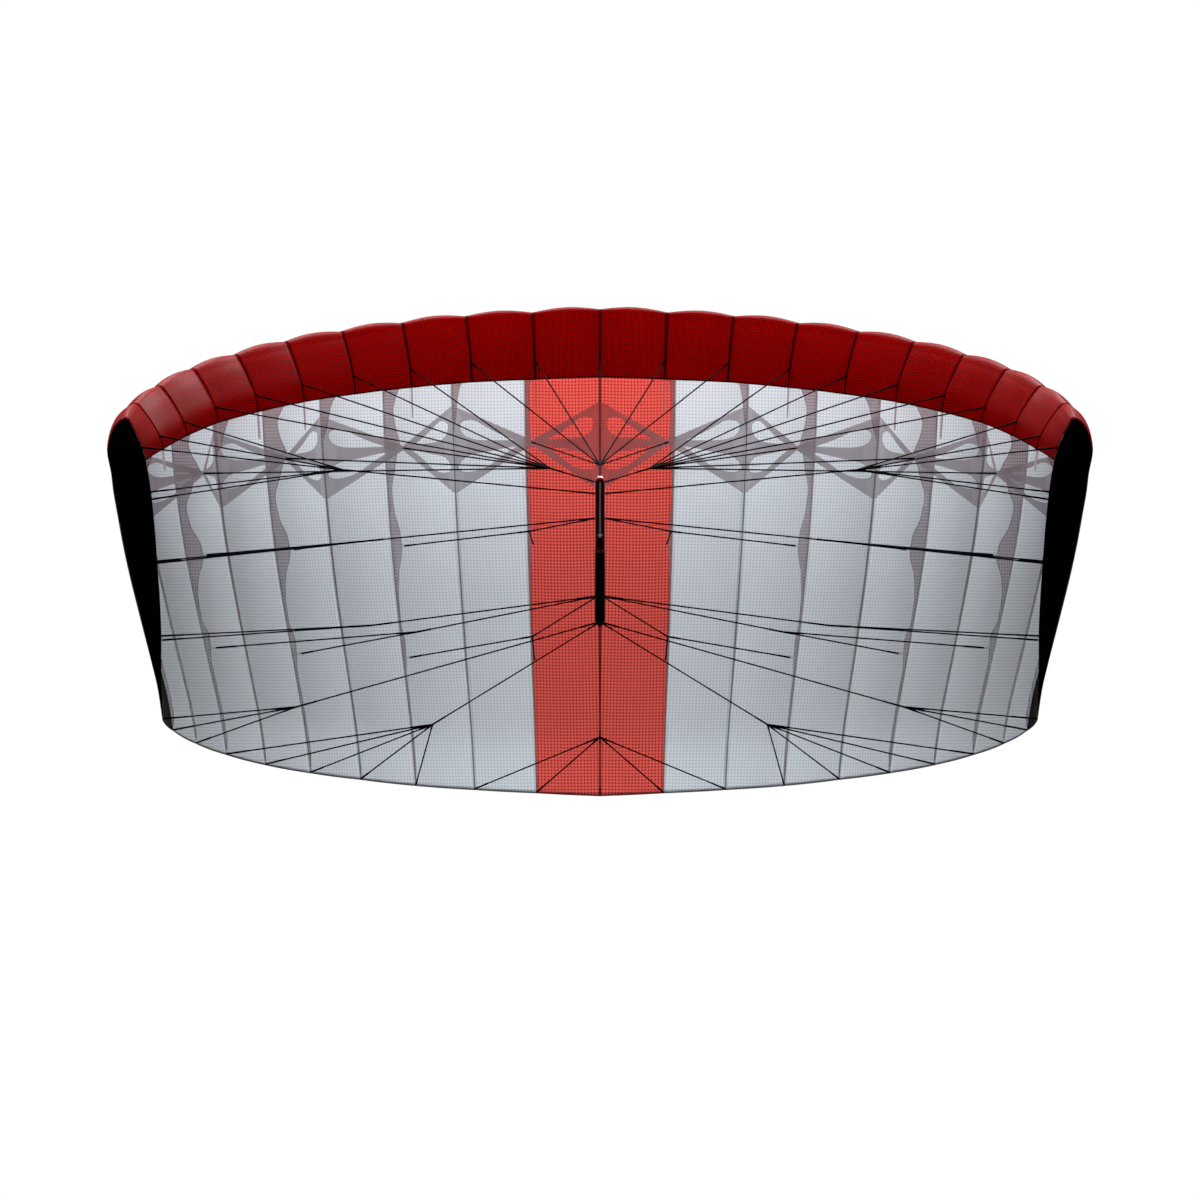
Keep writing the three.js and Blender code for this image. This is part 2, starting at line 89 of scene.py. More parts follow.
# %% Rib table
CELL_ANGLE = np.radians(7.4)
AXIS_Y = 260 * MM
TIP = 10
RIB_TABLE = {
    "radius": [1207, 1207, 1205, 1197, 1188, 1180, 1173, 1166, 1153, 1141, 1117],
    "trail_z": [-511, -504, -496, -486, -471, -455, -435, -410, -383, -351, -324],
    "chord": [1195, 1180, 1163, 1136, 1100, 1059, 1007, 947, 878, 803, 742],
    "nose": [81, 85, 91, 97, 102, 107, 109, 110, 109, 103, 93],
    "front": [37, 39, 35, 36, 38, 37, 37, 38, 39, 38, 52],
    "point": [0, 84, 0, 79, 0, 99, 0, 71, 0, 67, 27],
    "second": [0, 69, 0, 68, 0, 65, 0, 61, 0, 43, 13],
    "third": [0, 40, 0, 34, 0, 36, 0, 32, 0, 29, 3],
    "hollow": [0, 0, 0, 0, 0, 0, 3, 2, 3, 6, 13],
}
HEM_AT, FRONT_AT = 0.14, 0.098
ROW_AT = {"point": 0.27, "second": 0.481, "third": 0.722}
POINT_AT = ROW_AT["point"]


def size(column, place):
    """A size at places along the span: straight between two ribs, and the same on both sides."""
    return np.interp(np.abs(place), np.arange(TIP + 1), RIB_TABLE[column]) * MM


def as_points(*columns):
    """Arrays as the columns of one array of points, stretched to a common shape first."""
    return np.stack(np.broadcast_arrays(*columns), axis=-1)


def in_space(place, plane, aside=0.0):
    """From a rib's plane to the room. plane holds (behind the leading edge, rise). The radius is
    that of the trailing edge plus the rise, and the angle is place times 7.4 degrees."""
    angle = place * CELL_ANGLE
    radius = size("radius", place) + plane[..., 1]
    x = radius * np.sin(angle) + aside * np.cos(angle)
    y = AXIS_Y + radius * np.cos(angle) - aside * np.sin(angle)
    return as_points(x, y, size("trail_z", place) + size("chord", place) - plane[..., 0])


print("half span, degrees:", round(np.degrees(TIP * CELL_ANGLE), 1))

# %% [markdown]
# ## The section of the cloth
#
# Cut the wing along a rib and the cloth is one line: from the hem under the nose, forward round the
# nose, and back over the top to the trailing edge. Nineteen points hold it, and a Catmull-Rom curve
# runs through all of them. It is the simplest smooth curve that meets its points, which a Bezier
# curve would only pass near.

# %% Section
UNDER_NOSE = [(0.055, 0.34), (0.02, 0.68), (0.0, 1.0)]
OVER_NOSE = [(0.02, 0.52), (0.055, 0.84), (0.1, 1.0)]
UPPER = [(0.13, 0.1875), (0.19, 0.1835), (0.25, 0.178), (0.33, 0.1655), (0.42, 0.15), (0.52, 0.128),
         (0.62, 0.1015), (0.72, 0.073), (0.81, 0.0465), (0.9, 0.021), (1.0, 0.0)]
NOSE, SEAM, LAST = 4, 8, 18
HEM_DROP, TOP_RISE = 11 * MM, 0.189
HEM_BULGE, NOSE_BULGE, BODY_BULGE, TRAIL_BULGE, TIP_LOSS = 3 * MM, 9 * MM, 11 * MM, 2.5 * MM, 0.4


def section_points(place):
    """Nineteen points for each place: (distance behind the leading edge, rise)."""
    chord, nose, front, hollow = (size(column, place) for column in ("chord", "nose", "front", "hollow"))
    rows = [(HEM_AT, front - HEM_DROP), (FRONT_AT, front)]
    rows += [(at, front + (nose - front) * share) for at, share in UNDER_NOSE]
    rows += [(at, nose + (TOP_RISE * chord - nose) * share) for at, share in OVER_NOSE]
    rows += [(UPPER[0][0], UPPER[0][1] * chord)]
    rows += [(at, height * chord - hollow * np.sin(np.pi * at)) for at, height in UPPER[1:]]
    return np.stack([as_points(at * chord, rise) for at, rise in rows], axis=-2)


def catmull_rom(points, station):
    """A cubic through the points. Between two of them it leaves each along half the step between that
    point's neighbours. Returns the places and the steps along the curve at the stations asked for."""
    last = points.shape[-2] - 1
    low = np.clip(np.floor(station).astype(int), 0, last - 1)
    t = (station - low)[:, None]
    before, start = points[..., np.maximum(low - 1, 0), :], points[..., low, :]
    end, after = points[..., low + 1, :], points[..., np.minimum(low + 2, last), :]
    leave, arrive = (end - before) / 2, (after - start) / 2
    cubic, square = 2 * start - 2 * end + leave + arrive, 3 * end - 3 * start - 2 * leave - arrive
    place = ((cubic * t + square) * t + leave) * t + start
    return place, (3 * cubic * t + 2 * square) * t + leave


def cloth_line(place, station):
    """The middle of the cloth at places along the span and stations along the section, and the way out
    of the wing there: the step along the curve turned by a quarter."""
    point, step = catmull_rom(section_points(place), station)
    step = step / np.linalg.norm(step, axis=-1, keepdims=True)
    return point, as_points(-step[..., 1], step[..., 0])


def billow(place, station):
    """How far a cell bulges out: a half sine from rib to rib, deepest over the body, and less at the
    tips."""
    side = np.abs(place)[:, None]
    nose = HEM_BULGE + (NOSE_BULGE - HEM_BULGE) * np.minimum(station / NOSE, 1)
    back = np.clip(station - SEAM, 0, None) / (LAST - SEAM)
    depth = np.where(station < SEAM, nose, BODY_BULGE - (BODY_BULGE - TRAIL_BULGE) * back ** 3)
    return depth * (1 - TIP_LOSS * (side / TIP) ** 4) * np.sin(np.pi * (side - np.floor(side)))


def canopy(place, station):
    """Points of the cloth in the room, one row for each place and one column for each station."""
    point, out = cloth_line(place, station)
    return in_space(place[:, None], point + out * billow(place, station)[..., None])


print("middle of the nose, m:", canopy(np.array([0.0]), np.array([4.0]))[0, 0].round(3))

# %% [markdown]
# ## From arrays to pieces
#
# Each piece is a grid of points with four-sided faces, or a closed tube. One function turns arrays
# into a mesh, and also stores two things a material needs: a UV map measured in metres, so that a
# weave keeps its true size, and plain numbers such as the distance to the nearest seam.

# %% Mesh helper
PIECES = {}


def grid_faces(rows, columns, count=1, around=False):
    """Four-sided faces of grids whose points are stored row by row, one grid after the other. around
    joins the last column to the first."""
    index = np.arange(count * rows * columns).reshape(count, rows, columns)
    if around:
        index = np.concatenate([index, index[..., :1]], axis=2)
    low, high = index[:, :-1], index[:, 1:]
    return as_points(low[..., :-1], low[..., 1:], high[..., 1:], high[..., :-1]).reshape(-1, 4)


def run_along(lines):
    """How far each point lies along its line, from the line's first point."""
    steps = np.linalg.norm(np.diff(lines, axis=1), axis=-1)
    return np.concatenate([np.zeros((len(lines), 1)), np.cumsum(steps, axis=1)], axis=1)


def make_piece(name, points, faces, look, replaces=(), uv=None, numbers=None, smooth=True):
    """A piece of the object from an array of points and an array of faces."""
    mesh = bpy.data.meshes.new(name)
    mesh.from_pydata(points.reshape(-1, 3).tolist(), [], faces.tolist())
    if uv is not None:
        corners = np.empty(len(mesh.loops), dtype=np.int32)
        mesh.loops.foreach_get("vertex_index", corners)
        mesh.uv_layers.new(name="metres").uv.foreach_set("vector", uv.reshape(-1, 2)[corners].ravel())
    for label, values in (numbers or {}).items():
        layer = mesh.attributes.new(label, "FLOAT", "POINT")
        layer.data.foreach_set("value", np.ascontiguousarray(values, dtype=np.float32).ravel())
    mesh.polygons.foreach_set("use_smooth", np.full(len(mesh.polygons), smooth))
    mesh.materials.append(look)
    mesh.update()
    piece = put(name, mesh)
    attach(piece, "root")
    if replaces:
        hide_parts(*replaces)
    PIECES[name] = piece
    return piece


def thicken(piece, thickness, offset=0.0):
    """Gives a sheet its two faces and its cut edge."""
    wall = piece.modifiers.new("cloth", "SOLIDIFY")
    wall.thickness, wall.offset = thickness, offset
    wall.use_even_offset = False


# %% [markdown]
# ## Shader helpers
#
# A material is a small network. Writing it as nested calls keeps it short: plug sets a socket to a
# number or to another node's output, add_node makes a node with its sockets set, and reckon is one
# Math node. Each material gets its own short form of reckon, called maths.

# %% Shader helpers
def plug(tree, value, socket):
    """Sets a socket to a value, or links it to an output."""
    if isinstance(value, bpy.types.NodeSocket):
        tree.links.new(value, socket)
    else:
        socket.default_value = value


def plug_all(tree, node, inputs):
    """Sets several sockets of a node, by their names or numbers."""
    for label, value in inputs.items():
        plug(tree, value, node.inputs[label])


def add_node(tree, kind, inputs=None, **settings):
    """A new node. settings are its properties, and inputs its sockets."""
    node = tree.nodes.new("ShaderNode" + kind)
    for label, value in settings.items():
        setattr(node, label, value)
    plug_all(tree, node, inputs or {})
    return node


def reckon(tree, operation, *values, clamp=False):
    """One Math node."""
    node = add_node(tree, "Math", dict(enumerate(values)), operation=operation, use_clamp=clamp)
    return node.outputs[0]


def blend_colours(tree, share, first, second):
    """A colour between two colours. Sockets 6 and 7 of a Mix node are its colours, and 2 the result."""
    return add_node(tree, "Mix", {0: share, 6: first, 7: second}, data_type="RGBA").outputs[2]


def noise(tree, where, scale, detail=2.0):
    """Soft noise from 0 to 1."""
    return add_node(tree, "TexNoise", {"Vector": where, "Scale": scale, "Detail": detail}).outputs["Fac"]


def bump(tree, height, depth, strength, under=None):
    """A Bump node: height from 0 to 1 stands for depth in metres."""
    inputs = {"Height": height, "Distance": depth, "Strength": strength}
    if under is not None:
        inputs["Normal"] = under
    return add_node(tree, "Bump", inputs).outputs["Normal"]


def split_axes(tree, vector):
    """The three numbers of a vector."""
    return list(add_node(tree, "SeparateXYZ", {0: vector}).outputs)


def attribute(tree, label):
    """A number that the mesh stores under this name."""
    return add_node(tree, "Attribute", attribute_name=label).outputs["Fac"]


def on_sheet(tree):
    """The place on the cloth or round the cord, in metres."""
    return add_node(tree, "UVMap", uv_map="metres").outputs[0]


def new_look(name):
    """A material: itself, its network, its Principled shader, the place in the room and its maths."""
    look = bpy.data.materials.new(name)
    look.use_nodes = True
    tree = look.node_tree
    room = add_node(tree, "TexCoord").outputs["Object"]
    return look, tree, tree.nodes["Principled BSDF"], room, partial(reckon, tree)


def node_group(name, inputs, outputs):
    """An empty node group: itself, what it is given, its output node and its maths. An input whose value
    is None is a vector. All the others and the outputs are plain numbers."""
    tree = bpy.data.node_groups.new(name, "ShaderNodeTree")
    for label, value in inputs.items():
        kind = "NodeSocketVector" if value is None else "NodeSocketFloat"
        socket = tree.interface.new_socket(label, in_out="INPUT", socket_type=kind)
        if value is not None:
            socket.default_value = value
    for label in outputs:
        tree.interface.new_socket(label, in_out="OUTPUT", socket_type="NodeSocketFloat")
    given, gives = tree.nodes.new("NodeGroupInput"), tree.nodes.new("NodeGroupOutput")
    return tree, given.outputs, gives, partial(reckon, tree)


def use_group(tree, group, **values):
    """Places a node group in a material and sets its inputs by name."""
    return add_node(tree, "Group", values, node_tree=group).outputs


# %% [markdown]
# ## Ripstop cloth
#
# Light kite cloth is woven from threads too fine to see, with a thicker thread every few millimetres
# that stops a tear. Where two thick threads cross, the cloth is densest, and against the light each
# crossing shows as a soft dark dot. An image of the cloth would need a file, and a noise texture
# would never form rows. Two cosines do: one along the cell and one across it. Their raised sum gives
# the threads and their product gives the crossings.

# %% Ripstop group
PITCH, FINE_PITCH = 8.1 * MM, 0.9 * MM
ripstop, given, gives, maths = node_group(
    "ripstop", {"Place": None, "Pitch": PITCH}, ["Threads", "Crossings", "Weave"])
ways = split_axes(ripstop, given["Place"])[:2]
turns = maths("DIVIDE", TURN, given["Pitch"])
waves = [maths("MULTIPLY_ADD", maths("COSINE", maths("MULTIPLY", way, turns)), 0.5, 0.5) for way in ways]
fine = [maths("SINE", maths("MULTIPLY", way, TURN / FINE_PITCH)) for way in ways]
plug_all(ripstop, gives, {
    "Threads": maths("MAXIMUM", *[maths("POWER", wave, 3.0) for wave in waves]),
    "Crossings": maths("MULTIPLY", *[maths("POWER", wave, 1.6) for wave in waves]),
    "Weave": maths("MULTIPLY_ADD", maths("MULTIPLY", *fine), 0.5, 0.5)})
print("ripstop nodes:", len(ripstop.nodes))

# %% [markdown]
# ## Seams and hems
#
# Along a seam the cloth is folded and sewn, so it is two or three layers deep, darker against the
# light, and slightly puckered. The distance to the seam is stored in the mesh, so a band is one
# comparison with a soft edge. The pucker is a fine wave along the seam that dies out a finger away.

# %% Seam group
PUCKER_WAVES, PUCKER_FALL = (19 * MM, 7.3 * MM), 40.0
STITCH_PITCH, STITCH_HALF, STITCH_PLACE = 3.4 * MM, 0.4 * MM, 0.6
seam_band, given, gives, maths = node_group(
    "seam_band", {"Distance": 0.0, "Width": 2.8 * MM, "Soft": 0.8 * MM, "Along": 0.0},
    ["Band", "Pucker", "Stitch"])
away, wide, along = given["Distance"], given["Width"], given["Along"]
over = maths("DIVIDE", maths("SUBTRACT", wide, away), given["Soft"])
near = maths("SUBTRACT", 1.0, maths("MULTIPLY", away, PUCKER_FALL), clamp=True)
ripples = [maths("SINE", maths("MULTIPLY", along, TURN / wave)) for wave in PUCKER_WAVES]
beside = maths("ABSOLUTE", maths("SUBTRACT", away, maths("MULTIPLY", wide, STITCH_PLACE)))
dash = maths("GREATER_THAN", maths("SINE", maths("MULTIPLY", along, TURN / STITCH_PITCH)), -0.3)
plug_all(seam_band, gives, {
    "Band": maths("MULTIPLY_ADD", over, 0.5, 0.5, clamp=True),
    "Pucker": maths("MULTIPLY", maths("POWER", near, 2.0), maths("ADD", *ripples)),
    "Stitch": maths("MULTIPLY", maths("LESS_THAN", beside, STITCH_HALF), dash)})
print("seam nodes:", len(seam_band.nodes))

# %% [markdown]
# ## Cloth material
#
# Thin cloth does two things with light: it scatters some back, and lets some through. A Principled
# shader does the first and a Translucent shader the second, and one number says how much passes.
# Making the sheet see-through instead would show what is behind it sharply, as glass does, and cloth
# never does. The cloth has a slight gloss, because it is coated.

# %% Cloth material
HEM_WIDTH, SEWING_THREAD = 3.8 * MM, (0.02, 0.02, 0.022, 1)


def pass_light(tree, face, through, inputs):
    """Sets up the Principled face and mixes it with light that passes the cloth and takes its colour."""
    plug_all(tree, face, inputs)
    same = {"Color": inputs["Base Color"], "Normal": inputs["Normal"]}
    passed = add_node(tree, "BsdfTranslucent", same)
    mix = add_node(tree, "MixShader", {0: through, 1: face.outputs[0], 2: passed.outputs[0]})
    plug(tree, mix.outputs[0], tree.nodes["Material Output"].inputs["Surface"])


def cloth(name, colour, dark, seam_colour, seam_width, through, gloss,
          pitch=PITCH, crossing=0.85, thread=0.22, shine=0.07):
    """Coated ripstop. crossing and thread say how far the dots and rows go towards the dark colour,
    through how much light passes."""
    look, tree, face, room, maths = new_look(name)
    place = on_sheet(tree)
    weave = use_group(tree, ripstop, Place=place, Pitch=pitch)
    across, along, _ = split_axes(tree, place)
    rib = use_group(tree, seam_band, Distance=attribute(tree, "to_rib"), Width=seam_width, Along=along)
    hem = use_group(tree, seam_band, Distance=attribute(tree, "to_hem"), Width=HEM_WIDTH, Along=across)
    patch, crease = noise(tree, room, 3.1), noise(tree, room, 9.0, 3.0)
    amount = maths("MULTIPLY", weave["Crossings"], maths("MULTIPLY_ADD", patch, 0.5, crossing - 0.25))
    amount = maths("ADD", amount, maths("MULTIPLY", weave["Threads"], thread), clamp=True)
    shade = blend_colours(tree, amount, colour, dark)
    shade = blend_colours(tree, maths("MAXIMUM", rib["Band"], hem["Band"]), shade, seam_colour)
    sewn = maths("MULTIPLY", maths("MAXIMUM", rib["Stitch"], hem["Stitch"]), 0.35)
    shade = blend_colours(tree, sewn, shade, SEWING_THREAD)
    height = maths("ADD", weave["Threads"], maths("MULTIPLY", weave["Weave"], 0.35))
    normal = bump(tree, crease, 1.2 * MM, 0.4)
    normal = bump(tree, rib["Pucker"], 0.3 * MM, 0.3, under=normal)
    normal = bump(tree, height, 0.12 * MM, 0.3, under=normal)
    pass_light(tree, face, through, {
        "Base Color": shade, "Roughness": maths("MULTIPLY_ADD", crease, 0.12, gloss),
        "Specular IOR Level": shine, "Normal": normal})
    return look


red_cloth = cloth(
    "red_cloth", (0.76, 0.002, 0.003, 1), (0.1, 0.0005, 0.0005, 1), (0.14, 0.001, 0.002, 1),
    2.2 * MM, through=0.85, gloss=0.28, pitch=7 * MM, thread=0.25, shine=0.14)
salmon_cloth = cloth(
    "salmon_cloth", (0.99, 0.37, 0.33, 1), (0.3, 0.02, 0.02, 1), (0.6, 0.2, 0.2, 1),
    1.6 * MM, through=0.7, gloss=0.5)
white_cloth = cloth(
    "white_cloth", (0.88, 0.905, 0.93, 1), (0.56, 0.59, 0.62, 1), (0.5, 0.48, 0.48, 1),
    1.8 * MM, through=0.7, gloss=0.5, crossing=1.0, thread=0.12)
black_cloth = cloth(
    "black_cloth", (0.002, 0.002, 0.003, 1), (0.001, 0.001, 0.002, 1), (0.002, 0.002, 0.002, 1),
    2.4 * MM, through=0.1, gloss=0.6, crossing=0.6, thread=0.3)
print("cloths:", [look.name for look in (red_cloth, salmon_cloth, white_cloth, black_cloth)])

# %% [markdown]
# ## Twenty cells
#
# A cell is the cloth between two ribs. On the real wing each one is cut on its own and sewn at the
# ribs, which is why there is a sharp crease at every rib and a soft bulge between. So every cell is
# its own grid here. One large sheet with creases pressed into it would need far more vertices.
# Points are worked out for a whole cell at once, then each panel takes its cells and its stretch of
# the section: nose panels as far as the seam, upper panels from there to the trailing edge.

# %% Cells
ACROSS, PER_STATION = 16, 8
SEW_GAP, MEAN_RADIUS, CLOTH_THICKNESS = 0.02 * MM, 1.3, 0.5 * MM


def cell(number, first, last):
    """The cloth of one cell between two stations: points, place on the cloth in metres, distance to the
    nearest rib and to the nearest hem. number is the rib on its left."""
    edge = SEW_GAP / (CELL_ANGLE * MEAN_RADIUS)
    place = number + np.linspace(edge, 1 - edge, ACROSS + 1)
    points = canopy(place, np.linspace(0, LAST, LAST * PER_STATION + 1))
    run = run_along(points)
    left = run[:, -1:] - run
    radius = np.hypot(points[..., 0], points[..., 1] - AXIS_Y)
    across = (place - number - 0.5)[:, None] * CELL_ANGLE * radius
    flat = as_points(across, left + size("trail_z", place)[:, None])
    to_rib, to_hem = CELL_ANGLE * radius / 2 - np.abs(across), np.minimum(run, left)
    window = slice(first * PER_STATION, last * PER_STATION + 1)
    return [values[:, window] for values in (points, flat, to_rib, to_hem)]


def panel(name, node, numbers, first, last, look):
    """A piece of cloth of several cells side by side, thickened into a sheet."""
    cells = [cell(number, first, last) for number in numbers]
    points, flat, to_rib, to_hem = (np.array(values) for values in zip(*cells))
    count, rows, columns = to_rib.shape
    piece = make_piece(name, points, grid_faces(rows, columns, count), look, [node],
                       uv=flat, numbers={"to_rib": to_rib, "to_hem": to_hem})
    thicken(piece, CLOTH_THICKNESS)


# %% Nose panels
for i, left in enumerate(range(-TIP, TIP, 2)):
    name, node, pair = f"nose_cloth_{i + 1}", f"nose_panel_{i + 1}", [left, left + 1]
    panel(name, node, pair, 0, SEAM, red_cloth)

# %% Upper panels
for node, first_cell, end_cell, look, slot in [
    ("upper_tip_left", -10, -9, black_cloth, "black_cloth"),
    ("upper_left", -9, -1, white_cloth, "white_cloth"),
    ("upper_centre", -1, 1, salmon_cloth, "salmon_cloth"),
    ("upper_right", 1, 9, white_cloth, "white_cloth"),
    ("upper_tip_right", 9, 10, black_cloth, "black_cloth"),
]:
    panel(node + "_cloth", node, range(first_cell, end_cell), SEAM, LAST, look)

# %% [markdown]
# ## Rib cloth
#
# The ribs are a thinner, uncoated cloth that you can see through. Its face is partly clear, and part
# of it passes light on, scattered, like the skin. One number for the whole surface sets each of the
# two. The grid of thick threads shows darker.

# %% Rib material
RIB_HEM_WIDTH = 3 * MM


def rib_cloth(name, colour, dark, solid, through, crossing):
    """Thin open cloth: grey, partly clear, with the ripstop rows in it. solid is the part of its face
    that isn't clear, and through the share that passes light on, scattered."""
    look, tree, face, room, maths = new_look(name)
    weave = use_group(tree, ripstop, Place=on_sheet(tree), Pitch=PITCH)
    edge = use_group(tree, seam_band, Distance=attribute(tree, "to_edge"), Width=RIB_HEM_WIDTH,
                     Along=attribute(tree, "along"))
    patch = noise(tree, room, 7.0, 3.0)
    dots, blotches = maths("MULTIPLY", weave["Crossings"], crossing), maths("MULTIPLY", patch, 0.2)
    shade = blend_colours(tree, maths("ADD", dots, blotches, clamp=True), colour, dark)
    shade = blend_colours(tree, maths("MULTIPLY", edge["Band"], 0.45), shade, dark)
    height = maths("ADD", weave["Threads"], maths("MULTIPLY", weave["Weave"], 0.4))
    normal = bump(tree, height, 0.1 * MM, 0.6, under=bump(tree, patch, 2 * MM, 0.4))
    pass_light(tree, face, through, {
        "Base Color": shade, "Roughness": 0.6, "Alpha": solid, "Specular IOR Level": 0.1,
        "Normal": normal})
    return look


rib_look = rib_cloth("rib_cloth", (0.75, 0.72, 0.75, 1), (0.16, 0.15, 0.17, 1),
                     solid=0.3, through=0.28, crossing=0.9)
diagonal_look = rib_cloth("diagonal_cloth", (0.86, 0.84, 0.87, 1), (0.6, 0.58, 0.6, 1),
                          solid=0.38, through=0.28, crossing=0.12)

# %% [markdown]
# ## Ribs
#
# A rib is flat. Its upper edge follows the inside of the cloth. Its lower edge follows the cloth
# under the nose as far as the hem, and then runs free: in scallops down to the points where the
# lines are sewn on a loaded rib, and close under the cloth on a plain one. So a rib is a grid between
# two curves, one column for each distance behind the leading edge. The free edge passes through
# measured points on a smooth curve that never overshoots, or the scallops would swell into lobes.

# %% Rib edges
INSET, FINE_STATIONS, RIB_END = 1.1 * MM, 24, 0.985
LOADED_EDGE = [
    (0.145, 0.088), (0.16, 0.072), (0.19, 0.055), (0.222, 0.064), (0.246, 0.079), (0.26, 0.085),
    (POINT_AT, None), (0.282, 0.068), (0.31, 0.052), (0.363, 0.025), (0.411, 0.033), (0.451, 0.054),
    (ROW_AT["second"], 0.057), (0.5, 0.052), (0.54, 0.028), (0.6, 0.012), (0.65, 0.01), (0.69, 0.022),
    (ROW_AT["third"], 0.018), (0.76, 0.01), (0.81, 0.01), (0.9, 0.01), (0.95, 0.01), (RIB_END, 0.004)]
PLAIN_EDGE = [
    (0.145, 0.072), (0.162, 0.053), (0.19, 0.038), (0.215, 0.027), (0.25, 0.006), (0.33, 0.006),
    (0.95, 0.006), (RIB_END, 0.003)]
TIP_EDGE = [
    (0.16, 0.054), (0.2, 0.046), (POINT_AT, "point"), (0.38, 0.025), (ROW_AT["second"], "second"),
    (0.6, 0.009), (ROW_AT["third"], "third"), (0.85, 0.004), (RIB_END, -0.001)]


def smooth_curve(rows, at):
    """A smooth curve through (place, value) rows that keeps between them. The slope at a row is the
    harmonic mean of the slopes on its two sides, or zero where they differ in sign."""
    x, y = np.array(rows, dtype=float).T
    step, slope = np.diff(x), np.diff(y) / np.diff(x)
    same = slope[1:] * slope[:-1] > 0
    total = np.where(same, slope[1:] + slope[:-1], 1.0)
    inner = np.where(same, 2 * slope[1:] * slope[:-1] / total, 0.0)
    lean = np.concatenate([slope[:1], inner, slope[-1:]])
    low = np.clip(np.searchsorted(x, at) - 1, 0, len(x) - 2)
    t = (at - x[low]) / step[low]
    return ((1 + 2 * t) * (1 - t) ** 2 * y[low] + t * (1 - t) ** 2 * step[low] * lean[low]
            + t ** 2 * (3 - 2 * t) * y[low + 1] + t ** 2 * (t - 1) * step[low] * lean[low + 1])


def inner_edges(place):
    """The inside of the cloth as two curves of rise over distance behind: under the nose and over it."""
    point, out = cloth_line(np.array([abs(place)]), np.linspace(0, LAST, LAST * FINE_STATIONS + 1))
    point = (point - out * INSET)[0]
    turn = np.argmin(point[:, 0])
    return point[turn::-1], point[turn:]


def height_at(curve, behind):
    """The rise of a curve at distances behind the leading edge."""
    return np.interp(behind, curve[:, 0], curve[:, 1])


def rib_lower(place, behind, upper):
    """The free lower edge of a rib behind its hem."""
    chord = size("chord", place)
    at = behind / chord
    if abs(place) == TIP:
        rows = [(a, size(r, place) if isinstance(r, str) else r * chord) for a, r in TIP_EDGE]
        return smooth_curve(rows, at)
    if place % 2 == 0:
        return upper - smooth_curve(PLAIN_EDGE, at) * chord
    tip_depth = (np.interp(POINT_AT * chord, behind, upper) - size("point", place)) / chord
    rows = [(a, tip_depth if depth is None else depth) for a, depth in LOADED_EDGE]
    nose = smooth_curve([row for row in rows if row[0] <= POINT_AT], at)
    body = smooth_curve([row for row in rows if row[0] >= POINT_AT], at)
    return upper - np.where(at <= POINT_AT, nose, body) * chord


print("hem depth of a loaded rib, m:", round(LOADED_EDGE[0][1] * size("chord", 1), 3))

# %% Ribs
COLUMNS_NOSE, COLUMNS_BODY, ROWS_NOSE, ROWS_BODY = 30, 150, 6, 8
RIB_THICKNESS, LEAST_DEPTH = 0.4 * MM, 0.5 * MM


def rib_grid(place):
    """Points of a rib in its own plane. Rows run from the lower edge to the upper, columns from the nose
    to the trailing edge. In front of the hem the rows fill the closed nose; behind it the lower rows
    are left out."""
    under, over = inner_edges(place)
    chord, tip, hem = size("chord", place), under[0, 0], under[-1, 0]
    nose = tip + (hem - tip) * np.linspace(0, 1, COLUMNS_NOSE + 1)[:-1] ** 2
    body = np.linspace(hem, RIB_END * chord, COLUMNS_BODY + 1)
    body[np.argmin(np.abs(body - POINT_AT * chord))] = POINT_AT * chord
    behind = np.concatenate([nose, body])
    upper, floor = height_at(over, behind), height_at(under, behind)
    free = np.minimum(rib_lower(place, behind, upper), upper - LEAST_DEPTH)
    split = (free - floor)[COLUMNS_NOSE] / (upper - floor)[COLUMNS_NOSE]
    free[:COLUMNS_NOSE] = (floor + split * (upper - floor))[:COLUMNS_NOSE]
    low = floor + np.linspace(0, 1, ROWS_NOSE + 1)[:-1, None] * (free - floor)
    high = free + np.linspace(0, 1, ROWS_BODY + 1)[:, None] * (upper - free)
    return as_points(behind, np.concatenate([low, high]))


def rib_piece(place, node, look):
    """One rib with its seam distances."""
    plane = rib_grid(place)
    rows, columns = plane.shape[:2]
    faces = grid_faces(rows, columns).reshape(rows - 1, columns - 1, 4)
    keep = np.ones((rows - 1, columns - 1), dtype=bool)
    keep[:ROWS_NOSE, COLUMNS_NOSE:] = False
    used, fresh = np.unique(faces[keep], return_inverse=True)
    faces, flat, column = fresh.reshape(-1, 4), plane.reshape(-1, 2)[used], used % columns
    points = in_space(place, flat)
    to_edge = np.where(column >= COLUMNS_NOSE, flat[:, 1] - plane[ROWS_NOSE, column, 1], 1.0)
    sides = points[faces[:, [1, 3]]] - points[faces[:, :1]]
    area = float(np.linalg.norm(np.cross(sides[:, 0], sides[:, 1]), axis=-1).sum())
    piece = make_piece(node + "_cloth", points, faces, look, [node], uv=flat * [-1, 1],
                       numbers={"to_edge": to_edge, "along": flat[:, 0]}, smooth=False)
    thicken(piece, RIB_THICKNESS)
    return area


total = 0.0
for place in range(-TIP, TIP + 1):
    hand = ("_left", "", "_right")[int(np.sign(place)) + 1]
    if abs(place) == TIP:
        total += rib_piece(place, "tip_rib" + hand, black_cloth)
    else:
        kind = ("plain", "loaded")[place % 2]
        total += rib_piece(place, f"{kind}_rib_{abs(place)}{hand}", rib_look)
print(f"rib cloth: {total:.3f} m2")

# %% [markdown]
# ## Diagonal panels
#
# From the point of each loaded rib, cloth runs up at a slant to the seams of the ribs beside it, so
# that one line carries three ribs. Each panel has two large cut-outs, because cloth that carries
# nothing is only weight. A point of the panel is named by two shares: along, from the rib's point
# to the seam, and across, from its front edge to its rear edge. The outline and the rounded
# cut-outs are drawn in those shares, filled with triangles, and carried onto the slant.

